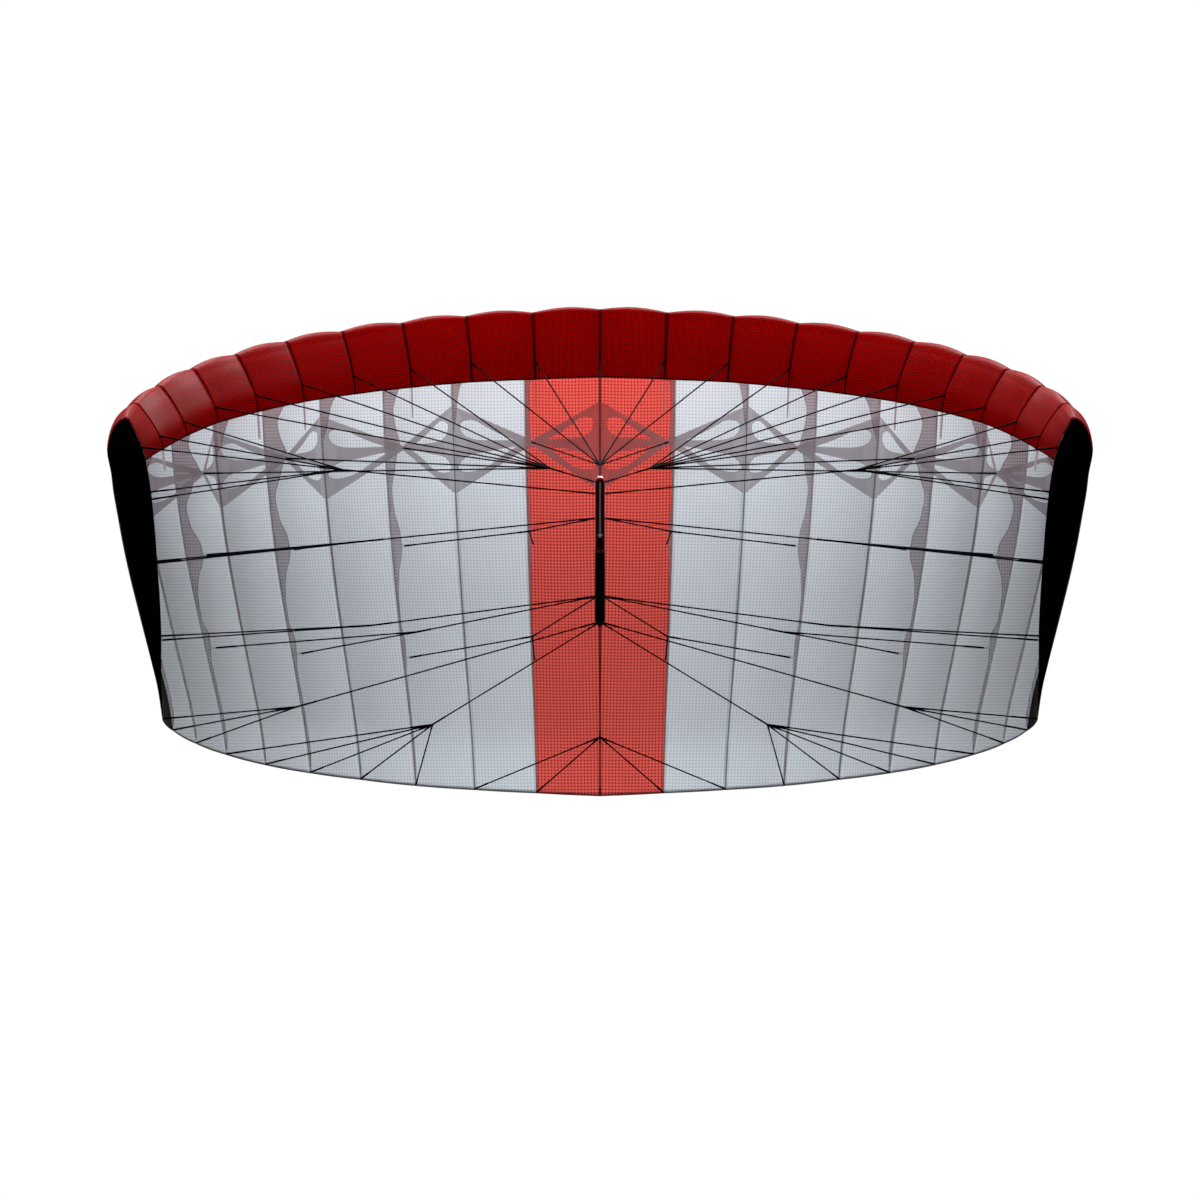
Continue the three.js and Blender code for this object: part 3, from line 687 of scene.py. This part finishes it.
# %% Diagonals
DIAGONAL_FROM, DIAGONAL_TO, APEX_WIDTH, APEX_RISE = 0.19, 0.373, 11 * MM, 2 * MM
SEAM_DROP, SEAM_ASIDE, PANEL_SIZE = 0.6 * MM, 3 * MM, [0.22, 0.2]
CUT_OUTS = [
    [(0.24, 0.32), (0.66, 0.1), (0.82, 0.11), (0.92, 0.2), (0.86, 0.33), (0.62, 0.38)],
    [(0.2, 0.62), (0.6, 0.6), (0.84, 0.61), (0.96, 0.71), (0.88, 0.8), (0.68, 0.865), (0.5, 0.85)],
]


def closed_curve(corners, steps=8):
    """A smooth closed line through its corners."""
    ring = np.array(corners)
    wrapped = np.concatenate([ring[-1:], ring, ring[:2]])
    stations = 1 + np.linspace(0, len(ring), len(ring) * steps + 1)[:-1]
    return catmull_rom(wrapped, stations)[0]


def filled_shape(rings):
    """Triangles inside the first ring and along the edges of the others."""
    starts = np.cumsum([0] + [len(r) for r in rings])
    edges = [(s + i, s + (i + 1) % len(r)) for s, r in zip(starts, rings) for i in range(len(r))]
    points, _, faces, _, _, _ = delaunay_2d_cdt(np.concatenate(rings).tolist(), edges, [], 2, 1e-6)
    return np.array([tuple(p) for p in points]), np.array([f for f in faces if len(f) == 3])


def inside(ring, point):
    """Which points lie inside a ring: an odd number of its edges cross the ray to the right."""
    a, b = ring, np.roll(ring, -1, axis=0)
    x, y = point[:, None, 0], point[:, None, 1]
    crosses = (a[:, 1] > y) != (b[:, 1] > y)
    at = a[:, 0] + (y - a[:, 1]) * (b[:, 0] - a[:, 0]) / np.where(crosses, b[:, 1] - a[:, 1], 1.0)
    return (crosses & (x < at)).sum(axis=1) % 2 == 1


edge_along = np.linspace(0, 1, 31)[1:-1]
outline = np.concatenate([
    as_points(1.0, np.linspace(0, 1, 25)), as_points(edge_along[::-1], 1.0),
    [(0.0, 1.0), (0.0, 0.0)], as_points(edge_along, 0.0)])
holes = [closed_curve(corners) for corners in CUT_OUTS]
share_points, share_faces = filled_shape([outline, *holes])
centre = share_points[share_faces].mean(axis=1)
share_faces = share_faces[~(inside(holes[0], centre) | inside(holes[1], centre))]
rims = np.concatenate([outline[outline[:, 1] % 1 == 0], *holes])
print("diagonal pattern:", len(share_points), "points,", len(share_faces), "faces")


def diagonal(place, seam_place):
    """Points of one panel: straight from a short seam at the rib's point to the long one, by the share
    along."""
    along, across = share_points.T
    back = POINT_AT * size("chord", place) + (across - 0.5) * APEX_WIDTH
    tip = in_space(place, as_points(back, size("point", place) + APEX_RISE))
    behind = (DIAGONAL_FROM + (DIAGONAL_TO - DIAGONAL_FROM) * across) * size("chord", seam_place)
    rise = height_at(inner_edges(seam_place)[1], behind) - SEAM_DROP
    seam = in_space(seam_place, as_points(behind, rise), np.sign(place - seam_place) * SEAM_ASIDE)
    return tip + (seam - tip) * along[:, None]


def diagonal_piece(place):
    """The panels on both sides of a loaded rib as one piece."""
    panels = np.array([diagonal(place, other) for other in (place - 1, place + 1) if abs(other) < TIP])
    count, points = len(panels), panels.reshape(-1, 3)
    faces = np.concatenate([share_faces + i * len(share_points) for i in range(count)])
    to_rim = np.linalg.norm((share_points[:, None] - rims[None]) * PANEL_SIZE, axis=-1).min(axis=1)
    sides = points[faces[:, 1:]] - points[faces[:, :1]]
    area = float(np.linalg.norm(np.cross(sides[:, 0], sides[:, 1]), axis=-1).sum() / 2)
    node = f"diagonals_{abs(place)}_{'left' if place < 0 else 'right'}"
    flat = np.tile(share_points * PANEL_SIZE, (count, 1))
    piece = make_piece(node + "_cloth", points, faces, diagonal_look, [node], uv=flat,
                       numbers={"to_edge": np.tile(to_rim, count), "along": flat[:, 0]}, smooth=False)
    thicken(piece, RIB_THICKNESS)
    return area


total = sum(diagonal_piece(place) for place in range(1 - TIP, TIP, 2))
print(f"diagonal cloth: {total:.3f} m2")

# %% [markdown]
# ## Lines
#
# The lines are thin braided cord, pulled straight by the wing. Each is a tube carried along a straight
# path, a little thicker at its ends, where the cord is doubled back and sewn. A curve with a bevel
# would do it too, but arrays make all strands of a row in one go, and the braid needs a UV map that
# runs round and along the cord.

# %% Line material
BRAID_PITCH, BRAID_STRANDS = 6 * MM, 4
braid, given, gives, maths = node_group("braid", {"Place": None}, ["Strands"])
round_it, along_it, _ = split_axes(braid, given["Place"])
slants = [maths("SINE", maths("ADD", maths("MULTIPLY", round_it, BRAID_STRANDS * TURN),
                              maths("MULTIPLY", along_it, way * TURN / BRAID_PITCH))) for way in (1, -1)]
plug_all(braid, gives, {"Strands": maths("MULTIPLY_ADD", maths("MAXIMUM", *slants), 0.5, 0.5)})


def cord_look(name, colour, light, roughness=0.75):
    """Braided cord: two sets of strands wind round it in opposite ways."""
    look, tree, face, room, maths = new_look(name)
    strands = use_group(tree, braid, Place=on_sheet(tree))["Strands"]
    worn = noise(tree, room, 40.0, 3.0)
    share = maths("MULTIPLY", strands, maths("MULTIPLY_ADD", worn, 0.9, 0.1))
    plug_all(tree, face, {
        "Base Color": blend_colours(tree, share, colour, light), "Specular IOR Level": 0.01,
        "Roughness": maths("MULTIPLY_ADD", worn, 0.2, roughness),
        "Normal": bump(tree, strands, 0.3 * MM, 0.7)})
    return look


front_cord = cord_look("front_cord", (0.0005, 0.0002, 0.0002, 1), (0.002, 0.0005, 0.0005, 1))
back_cord = cord_look("back_cord", (0.0003, 0.0003, 0.004, 1), (0.0008, 0.001, 0.016, 1))
rear_cord = cord_look("rear_cord", (0.0003, 0.0004, 0.0003, 1), (0.001, 0.0016, 0.001, 1))
loop_cord = cord_look("loop_cord", (0.42, 0.4, 0.38, 1), (0.62, 0.6, 0.58, 1), 0.6)


# %% Tubes
def frames(way):
    """Two directions across each way, at right angles to it and to each other."""
    way = way / np.linalg.norm(way, axis=-1, keepdims=True)
    first = np.cross(way, np.where(np.abs(way[..., 2:3]) > 0.9, [1.0, 0, 0], [0, 0, 1.0]))
    first /= np.linalg.norm(first, axis=-1, keepdims=True)
    return first, np.cross(way, first)


def tubes(path, radius, sides=8):
    """Round tubes along paths. path is (tubes, rings, 3), and radius one number or (tubes, rings). Each
    ring is a circle across the path. The ends stay open."""
    count, rings = path.shape[:2]
    first, second = frames(np.gradient(path, axis=1))
    angle = np.arange(sides) / sides * TURN
    ring = first[:, :, None] * np.cos(angle)[:, None] + second[:, :, None] * np.sin(angle)[:, None]
    points = path[:, :, None] + ring * np.broadcast_to(radius, (count, rings))[:, :, None, None]
    uv = as_points(np.abs(angle / np.pi - 1), run_along(path)[:, :, None])
    faces = grid_faces(rings, sides, count, around=True)[:, ::-1]
    return points.reshape(-1, 3), faces, uv.reshape(-1, 2)


def join(parts):
    """Several (points, faces, uv) as one."""
    points, faces, uv = zip(*parts)
    starts = np.cumsum([0] + [len(p) for p in points[:-1]])
    faces = [f + s for f, s in zip(faces, starts)]
    return [np.concatenate(arrays) for arrays in (points, faces, uv)]


# %% [markdown]
# ## Where each line goes
#
# Four rows leave the bar: front, second, third and rear. Each leaves its knot on the bar, forks once
# in the air, and fans out. Front lines end on the rib seams under the nose and on the points of the
# loaded ribs, second and third lines on small loops on the loaded ribs, and rear lines on the
# trailing edge. The table gives each row its cord, the height of its knot on the bar, and its forks:
# where they hang, and which ribs they fan out to. All lengths in it are in millimetres.

# %% Line table
LINE_RADIUS, BAR_RADIUS = 1.75 * MM, 12.5 * MM
HANDS = (("left", -1), ("right", 1))
SIDE_ROWS = {
    "front_lines_inner": (front_cord, "front_line", 258, [
        ((123, 220, 294), {"front": [3, 4, 5, 6, 7], "point": [3, 5, 7]})]),
    "front_lines_outer": (front_cord, "front_line", 231, [
        ((631, 445, 290), {"front": [8, 9, 10], "point": [9, 10]})]),
    "second_lines": (back_cord, "rear_line", 172, [
        ((174, 769, 139), {"second": [1, 3]}), ((577, 526, 115), {"second": [5, 7, 9, 10]})]),
    "third_lines": (back_cord, "rear_line", -20, [
        ((166, 811, -119), {"third": [1, 3]}), ((450, 636, -108), {"third": [5, 7]}),
        ((562, 356, -92), {"third": [9, 10]})]),
}
MIDDLE_ROWS = {
    "front_lines_centre": (front_cord, "front_line", 268, [
        ((0, 215, 302), {"front": [-2, -1, 0, 1, 2], "point": [-1, 1]})]),
    "rear_lines": (rear_cord, "rear_line", -83, [
        ((-746, 519, -292), {"trail": [-10, -9, -8]}),
        ((-411, 737, -335), {"trail": [-7, -6, -5, -4, -3]}),
        ((0, 975, -366), {"trail": [-2, -1, 0, 1, 2]}),
        ((411, 737, -335), {"trail": [3, 4, 5, 6, 7]}),
        ((746, 519, -292), {"trail": [8, 9, 10]})]),
}
UNDER_CLOTH, BEFORE_TRAIL = 0.8 * MM, 3 * MM
SPLICE_MARKS, SPLICE_SHAPE = np.array([0, 58, 64]) * MM, np.array([1.3, 1.3, 1, 1, 1, 1.3, 1.3])
KNOT_CORD, FORK_KNOT, BAR_KNOT, STUB_RADIUS = 1.2 * MM, 4 * MM, 3.8 * MM, 1.8 * MM


def line_end(row, place):
    """The point on the wing that a line is sewn to."""
    if row in ROW_AT:
        plane = np.array([ROW_AT[row] * size("chord", place), size(row, place)])
    else:
        station, back = (1, 0) if row == "front" else (LAST, BEFORE_TRAIL)
        point, out = cloth_line(np.array([place]), np.array([station]))
        plane = point[0, 0] - [back, 0] - out[0, 0] * UNDER_CLOTH
    return in_space(place, plane)


def strands(starts, ends):
    """Straight cords between pairs of points, thicker over the last 60 mm at each end."""
    length = np.linalg.norm(ends - starts, axis=-1, keepdims=True)
    marks = np.concatenate([0 * length + SPLICE_MARKS, length / 2, length - SPLICE_MARKS[::-1]], axis=1)
    path = starts[:, None] + (ends - starts)[:, None] * (marks / length)[..., None]
    return tubes(path, LINE_RADIUS * SPLICE_SHAPE)


def trefoil(count):
    """A closed line in the form of an overhand knot, of about unit radius."""
    t = np.linspace(0, TURN, count)
    return as_points(np.sin(t) + 2 * np.sin(2 * t), np.cos(t) - 2 * np.cos(2 * t), -np.sin(3 * t)) / 3


def knots(centres, radius):
    """Overhand knots: a tube along a trefoil."""
    return tubes(centres[:, None] + trefoil(37) * (radius - KNOT_CORD), KNOT_CORD, 6)


# %% Lines
line_length = {}


def line_row(name, row, side):
    """One row of lines, from its knot on the back of the bar to the wing."""
    look, slot, bar_z, forks = row
    aside, mirror = side * 5 * MM, np.array([side or 1, 1, 1])
    start = np.array([[aside, np.sqrt((BAR_RADIUS + BAR_KNOT) ** 2 - aside ** 2), bar_z * MM]])
    stub = np.array([[aside * 0.5, 8 * MM, bar_z * MM]])
    hub = np.array([at for at, _ in forks]) * MM * mirror
    pairs = [(i, line_end(kind, place * (side or 1))) for i, (_, fan) in enumerate(forks)
             for kind, places in fan.items() for place in places]
    starts = np.concatenate([np.repeat(start, len(hub), axis=0), hub[[i for i, _ in pairs]]])
    ends = np.concatenate([hub, [end for _, end in pairs]])
    points, faces, uv = join([strands(starts, ends), knots(hub, FORK_KNOT), knots(start, BAR_KNOT),
                              tubes(np.stack([stub, start], axis=1), STUB_RADIUS)])
    make_piece(name + "_cord", points, faces, look, [name], uv=uv)
    line_length[name] = float(np.linalg.norm(ends - starts, axis=1).sum())


for name, row in MIDDLE_ROWS.items():
    line_row(name, row, 0)
for name, row in SIDE_ROWS.items():
    for hand, side in HANDS:
        line_row(f"{name}_{hand}", row, side)
print("line lengths, m:", {k: round(v, 2) for k, v in line_length.items()})
print("in all, m:", round(sum(line_length.values()), 1))

# %% [markdown]
# ## Loops on the ribs
#
# Second and third lines don't end on the cloth but in a small pale loop sewn into the rib. A loop is
# a tube along a U: down one side, round the bottom and up the other.

# %% Loops
LOOP_HALF, LOOP_RADIUS, LOOP_TOP = 1.3 * MM, 0.75 * MM, {"second": 0.05, "third": 0.012}


def loop_path(place, row):
    """A U in the rib's plane, from the cloth down to the end of the line."""
    chord, bottom = size("chord", place), size(row, place)
    middle = ROW_AT[row] * chord
    top = height_at(inner_edges(place)[1], middle) - LOOP_TOP[row] * chord
    t = np.linspace(0, np.pi, 9)
    x = np.concatenate([[middle + LOOP_HALF], middle + LOOP_HALF * np.cos(t), [middle - LOOP_HALF]])
    y = np.concatenate([[top], bottom + LOOP_HALF - LOOP_HALF * np.sin(t), [top]])
    return in_space(place, as_points(x, y))


for hand, side in HANDS:
    paths = [loop_path(side * place, row) for place in (1, 3, 5, 7, 9) for row in ("second", "third")]
    points, faces, uv = tubes(np.array(paths), LOOP_RADIUS, 6)
    make_piece("line_loops_" + hand, points, faces, loop_cord, uv=uv)
    print(f"loops, {hand}:", len(paths))

# %% [markdown]
# ## Battens
#
# A thin rod in a sleeve holds the nose of some ribs open, and the end of its sleeve sticks out
# behind the hem.

# %% Battens
BATTEN_END, BATTEN_DROP, BATTEN_HALF, BATTEN_LENGTH = 0.205, 6 * MM, 3.2 * MM, 60 * MM
BATTEN_ROWS, BATTEN_THICKNESS = 8, 1.6 * MM


def batten(place):
    """A flat sleeve in the rib's plane, behind the hem, narrower over its last tenth."""
    start = inner_edges(place)[0][-1]
    end = np.array([BATTEN_END * size("chord", place), start[1] - BATTEN_DROP])
    share = np.linspace(0, 1, BATTEN_ROWS)
    width = BATTEN_HALF * np.sqrt(1 - ((share - 0.9) / 0.1).clip(0) ** 2 * 0.7)
    middle = start + (end - start) * share[:, None]
    return np.stack([in_space(place, middle + as_points(0 * share, width * k)) for k in (-1, 1)], axis=1)


for hand, side in HANDS:
    grids = np.array([batten(side * place) for place in (1, 3, 5, 6, 7, 9)])
    row_ends = np.linspace(0, BATTEN_LENGTH, BATTEN_ROWS)[:, None]
    flat = np.tile(as_points([0, 2 * BATTEN_HALF], row_ends).reshape(-1, 2), (len(grids), 1))
    numbers = {"to_edge": 0 * flat[:, 1], "along": flat[:, 1]}
    piece = make_piece("batten_sleeves_" + hand, grids, grid_faces(BATTEN_ROWS, 2, len(grids)),
                       diagonal_look, uv=flat, numbers=numbers, smooth=False)
    thicken(piece, BATTEN_THICKNESS)
    print(f"batten sleeves, {hand}:", len(grids))

# %% [markdown]
# ## The bar
#
# The front half of the bar is an anodised tube with a domed end. A groove on the rider's side lets
# the trim line through. The whole outside is one surface: the angle round the bar and the height
# along it. Where the groove is, the sheet doesn't close: its two edges stay half the groove's width
# apart on each side, and where there is none they meet. Solidify then gives the wall its thickness,
# and the groove its sides. Cutting the groove with a Boolean works too, but leaves long thin faces.

# %% Bar materials
edge_wear, given, gives, maths = node_group(
    "edge_wear", {"Place": None, "Edge": 0.0, "Amount": 0.5}, ["Worn", "Grime"])
grain, coarse = noise(edge_wear, given["Place"], 260.0, 4.0), noise(edge_wear, given["Place"], 34.0, 3.0)
near = maths("MULTIPLY", given["Edge"], maths("MULTIPLY", grain, coarse))
bare = maths("MULTIPLY_ADD", near, 8.0, -0.9, clamp=True)
plug_all(edge_wear, gives, {"Worn": maths("MULTIPLY", bare, given["Amount"]), "Grime": coarse})


def anodised(name, colour, worn_colour, roughness):
    """Dyed and sealed aluminium with fine lines round it and a little bare metal on its edges."""
    look, tree, face, room, maths = new_look(name)
    wear = use_group(tree, edge_wear, Place=room, Edge=attribute(tree, "edge"), Amount=0.4)
    squeezed = add_node(tree, "Mapping", {"Scale": (1, 1, 40), "Vector": room}).outputs[0]
    turned = noise(tree, squeezed, 60.0, 3.0)
    shade = blend_colours(tree, maths("MULTIPLY", wear["Grime"], 0.35), colour, (0.02, 0.001, 0.002, 1))
    plug_all(tree, face, {
        "Base Color": blend_colours(tree, wear["Worn"], shade, worn_colour), "Metallic": 0.85,
        "Roughness": maths("MULTIPLY_ADD", turned, 0.12, roughness), "Coat Weight": 0.3,
        "Coat Roughness": 0.1, "Normal": bump(tree, turned, 0.05 * MM, 0.5)})
    return look


def moulded(name, colour, roughness, pitch, depth):
    """Foam or rubber: a fine pebbled skin."""
    look, tree, face, room, maths = new_look(name)
    cells = add_node(tree, "TexVoronoi", {"Scale": 1 / pitch, "Vector": room})
    soft = noise(tree, room, 55.0, 3.0)
    shade = blend_colours(tree, maths("MULTIPLY", soft, 0.8), colour, (0.006, 0.008, 0.009, 1))
    plug_all(tree, face, {
        "Base Color": shade, "Roughness": maths("MULTIPLY_ADD", soft, 0.2, roughness),
        "Specular IOR Level": 0.12, "Normal": bump(tree, cells.outputs["Distance"], depth, 0.6)})
    return look


tube_look = anodised("red_anodised", (0.62, 0.006, 0.008, 1), (0.5, 0.42, 0.42, 1), 0.24)
ring_look = moulded("ring_rubber", (0.003, 0.003, 0.003, 1), 0.4, 1 * MM, 0.1 * MM)
grip_look = moulded("grip_foam", (0.002, 0.0025, 0.003, 1), 0.62, 1.4 * MM, 0.3 * MM)
trim_cord = cord_look("trim_cord", (0.5, 0.62, 0.66, 1), (0.8, 0.88, 0.9, 1), 0.55)
print("materials:", len(bpy.data.materials))

# %% Tube
TUBE_FRONT, TUBE_REAR, DOME, HOLE = 275 * MM, 93 * MM, 17 * MM, 4.6 * MM
GROOVE_HALF, GROOVE_FRONT, GROOVE_REAR = 2.6 * MM, 261 * MM, 96 * MM
AROUND, RUBBED_LENGTH, RUBBED_GROOVE = 73, 20 * MM, 0.7


def groove_half_width(z):
    """Half the groove's width at a height: constant, with a half circle at its rear end and a round hole
    at its front end."""
    ends = np.clip((z - GROOVE_REAR) / GROOVE_HALF, 0, 1)
    rear = GROOVE_HALF * np.sqrt(np.clip(1 - (1 - ends) ** 2, 0, 1))
    front = np.sqrt(np.clip(HOLE ** 2 - (z - (GROOVE_FRONT - HOLE)) ** 2, 0, None))
    straight = np.where((z > GROOVE_REAR) & (z < GROOVE_FRONT - HOLE), rear, 0)
    return np.maximum(straight, front)


def tube_radius(z):
    """Full behind the dome, and half an ellipse over it."""
    over = np.clip((z - (TUBE_FRONT - DOME)) / DOME, 0, 1)
    return BAR_RADIUS * np.sqrt(1 - over ** 2)


dome_angle = np.linspace(np.arcsin((GROOVE_FRONT - TUBE_FRONT + DOME) / DOME), np.pi / 2 * 0.985, 24)
steps = np.concatenate([
    np.linspace(TUBE_REAR, GROOVE_REAR, 4)[:-1],
    GROOVE_REAR + GROOVE_HALF * (1 - np.cos(np.linspace(0, np.pi / 2, 8)))[:-1],
    np.linspace(GROOVE_REAR + GROOVE_HALF, GROOVE_FRONT - 2 * HOLE, 40)[:-1],
    GROOVE_FRONT - HOLE - HOLE * np.cos(np.linspace(0, np.pi, 25))[:-1],
    TUBE_FRONT - DOME + DOME * np.sin(dome_angle)])
steps = np.unique(np.round(steps, 7))[:, None]
half = np.arcsin(np.clip(groove_half_width(steps) / tube_radius(steps), 0, 0.95))
angle = half + (TURN - 2 * half) * np.linspace(0, 1, AROUND)
radius = tube_radius(steps)
rubbed = np.clip(1 - (TUBE_FRONT - steps) / RUBBED_LENGTH, 0, 1) * np.ones(AROUND)
rims_of_groove = [0, 1, -2, -1]
rubbed[:, rims_of_groove] = np.maximum(rubbed[:, rims_of_groove], RUBBED_GROOVE)
points = as_points(radius * np.sin(angle), -radius * np.cos(angle), steps)
bar_tube = make_piece("bar_tube_shell", points, grid_faces(len(steps), AROUND), tube_look,
                      ["bar_tube"], numbers={"edge": rubbed})
print("tube rows:", len(steps))

# %% [markdown]
# Where the sheet closes, its first and last columns hold the same points twice. Merging them makes
# it one surface. The ring and the grip are profiles carried round the bar's axis, and merging closes
# them too.

# %% Close the tube
WELD, WALL, EDGE_ROUND = 0.01 * MM, 2.6 * MM, 0.35 * MM


def weld(piece):
    """Merges doubled points and turns all faces outwards."""
    work = bmesh.new()
    work.from_mesh(piece.data)
    bmesh.ops.remove_doubles(work, verts=work.verts, dist=WELD)
    bmesh.ops.recalc_face_normals(work, faces=work.faces)
    work.to_mesh(piece.data)
    work.free()


weld(bar_tube)
thicken(bar_tube, WALL, -1)
soften = bar_tube.modifiers.new("edges", "BEVEL")
soften.width, soften.segments, soften.limit_method = EDGE_ROUND, 2, "ANGLE"
soften.angle_limit = np.radians(50)


def turned_piece(name, profile, look, node, sides=64):
    """A profile of (radius, height) in millimetres carried round the bar's axis, closed at the axis."""
    radius, z = np.concatenate(profile).T[..., None] * MM
    angle = np.arange(sides) / sides * TURN
    points = as_points(radius * np.cos(angle), radius * np.sin(angle), z)
    weld(make_piece(name, points, grid_faces(len(z), sides, around=True), look, [node]))
    print(name + ":", len(z), "rings")


def arc(radius, z, start, stop, middle):
    """Points of a quarter round: radius and height of its middle, from one angle to another."""
    angle = np.radians(np.linspace(start, stop, 9))
    return as_points(middle + radius * np.cos(angle), z + radius * np.sin(angle))


# %% Ring and grip
turned_piece("bar_ring_collar", [
    [(0, 88.8), (12.9, 88.8)], arc(0.7, 89.5, -90, 0, 12.9), arc(0.7, 92.0, 0, 90, 12.9), [(0, 92.7)]],
    ring_look, "bar_ring")
turned_piece("bar_grip_foam", [
    [(0, -93)], arc(2.2, -90.8, -90, 0, 4.6), [(6.8, -86.5), (6.8, -85.3), (7.2, -84.6)],
    arc(4.2, -79.8, -90, 0, 8.3), [(12.5, -70), (12.5, 0), (12.5, 80)],
    arc(1.2, 87.2, 0, 90, 11.3), [(0, 88.4)]], grip_look, "bar_grip")

# %% [markdown]
# The trim line runs in the groove, almost flush with the tube, and ends in a knot that is too wide to
# slip in. Both are one piece of grey cord.

# %% Trim line
TRIM_Y, KNOT_Z, HOLE_Z = -9.6 * MM, 128.3 * MM, 258 * MM
TRIM_RADIUS, KNOT_RADIUS, KNOT_FORWARD, KNOT_SIZE = 2.25 * MM, 1.9 * MM, 2.6 * MM, [4.1, 3.8, 3.2]
t = np.linspace(0, 1, 40)
wander, z = as_points(0.15 * np.sin(9 * t), 0.2 * np.sin(14 * t)) * MM, KNOT_Z + (HOLE_Z - KNOT_Z) * t
into_hole = np.array([[0, -7.5, 259.5], [0, -3, 260.5]]) * MM
line_path = np.concatenate([as_points(wander[:, 0], TRIM_Y + wander[:, 1], z), into_hole])
knot_path = trefoil(61)[:, [0, 2, 1]] * KNOT_SIZE * MM + [0, TRIM_Y - KNOT_FORWARD, KNOT_Z]
line, knot = tubes(line_path[None], TRIM_RADIUS, 12), tubes(knot_path[None], KNOT_RADIUS, 10)
points, faces, uv = join([line, knot])
make_piece("trim_line_cord", points, faces, trim_cord, ["trim_line"], uv=uv)
print("trim line, m:", round(HOLE_Z - KNOT_Z, 3))

# %% [markdown]
# ## Stage and light
#
# A pale floor lies well under the wing. The light is that of a bright day behind and above the wing,
# so that the cloth glows and what faces the rider stays darker. The background itself is plain white:
# only rays from the camera see it, through the Light Path node. Gloss gets its own surroundings: a
# weaker sky, a white wall behind the wing, and two soft lamps that light nothing else. They put the
# highlights on the nose and on the bar.

# %% Floor
FLOOR = [(-9, -9, -1.9), (9, -9, -1.9), (9, 9, -1.9), (-9, 9, -1.9)]
floor_mesh = bpy.data.meshes.new("floor")
floor_mesh.from_pydata(FLOOR, [], [(0, 1, 2, 3)])
floor = put("floor", floor_mesh)
floor.visible_diffuse = floor.visible_transmission = floor.visible_glossy = False
pale, tree, face, room, _ = new_look("pale_floor")
shade = blend_colours(tree, noise(tree, room, 3.0), (0.76, 0.76, 0.77, 1), (0.8, 0.8, 0.8, 1))
plug_all(tree, face, {"Base Color": shade, "Roughness": 0.8})
floor_mesh.materials.append(pale)

# %% Sky
DAY_WAY, DAY_FOCUS, DAY_POWER, DAY_LEAST = (0, 0.5, 0.866), 12.0, 28.0, 0.11
MIRRORED_DAY, WALL_RISE, WALL_FROM = 5.0, 2.0, -0.6
world = bpy.data.worlds.new("studio")
bpy.context.scene.world = world
world.use_nodes = True
tree = world.node_tree
tree.nodes.clear()
maths = partial(reckon, tree)
towards = add_node(tree, "TexCoord").outputs["Generated"]
slope = add_node(tree, "VectorMath", {0: towards, 1: DAY_WAY}, operation="DOT_PRODUCT").outputs["Value"]
share = maths("POWER", maths("MAXIMUM", slope, 0.0), DAY_FOCUS)
day = maths("MULTIPLY_ADD", share, DAY_POWER, DAY_LEAST)
wall = maths("MULTIPLY_ADD", split_axes(tree, towards)[1], WALL_RISE, WALL_FROM, clamp=True)
mirrored = maths("MULTIPLY_ADD", share, MIRRORED_DAY, wall)
ray = add_node(tree, "LightPath").outputs
glow = maths("ADD", day, maths("MULTIPLY", ray["Is Glossy Ray"], maths("SUBTRACT", mirrored, day)))
light = add_node(tree, "Background", {"Color": (0.97, 0.985, 1, 1), "Strength": glow})
plain = add_node(tree, "Background", {"Color": (1, 1, 1, 1)})
seen = add_node(tree, "MixShader", {0: ray["Is Camera Ray"], 1: light.outputs[0], 2: plain.outputs[0]})
add_node(tree, "OutputWorld", {"Surface": seen.outputs[0]})
bpy.context.scene.view_settings.view_transform = "Standard"
print("sky nodes:", len(tree.nodes))


# %% Soft lamps
def gloss_lamp(name, place, wide, power, aim=(0, 0, 0.2)):
    """A large square lamp that points at a spot, and shows only in gloss."""
    data = bpy.data.lights.new(name, "AREA")
    data.shape, data.size, data.energy = "SQUARE", wide, power
    lamp = put(name, data)
    lamp.location = place
    x, y, z = np.array(aim) - place
    lamp.rotation_euler = (np.arctan2(np.hypot(x, y), -z), 0, np.arctan2(y, x) - np.pi / 2)
    lamp.visible_diffuse = lamp.visible_transmission = False
    print(name + ":", power, "W")


gloss_lamp("right_gloss", (1.9, 3.8, 3.9), wide=1.8, power=260)
gloss_lamp("left_gloss", (-1.2, 4.9, 3.4), wide=1.4, power=50)

# %% [markdown]
# ## Finish
#
# The last step counts the triangles of the dressed part.

# %% Finish
print("triangles about:", sum(len(p.data.polygons) * 2 for p in PIECES.values()))
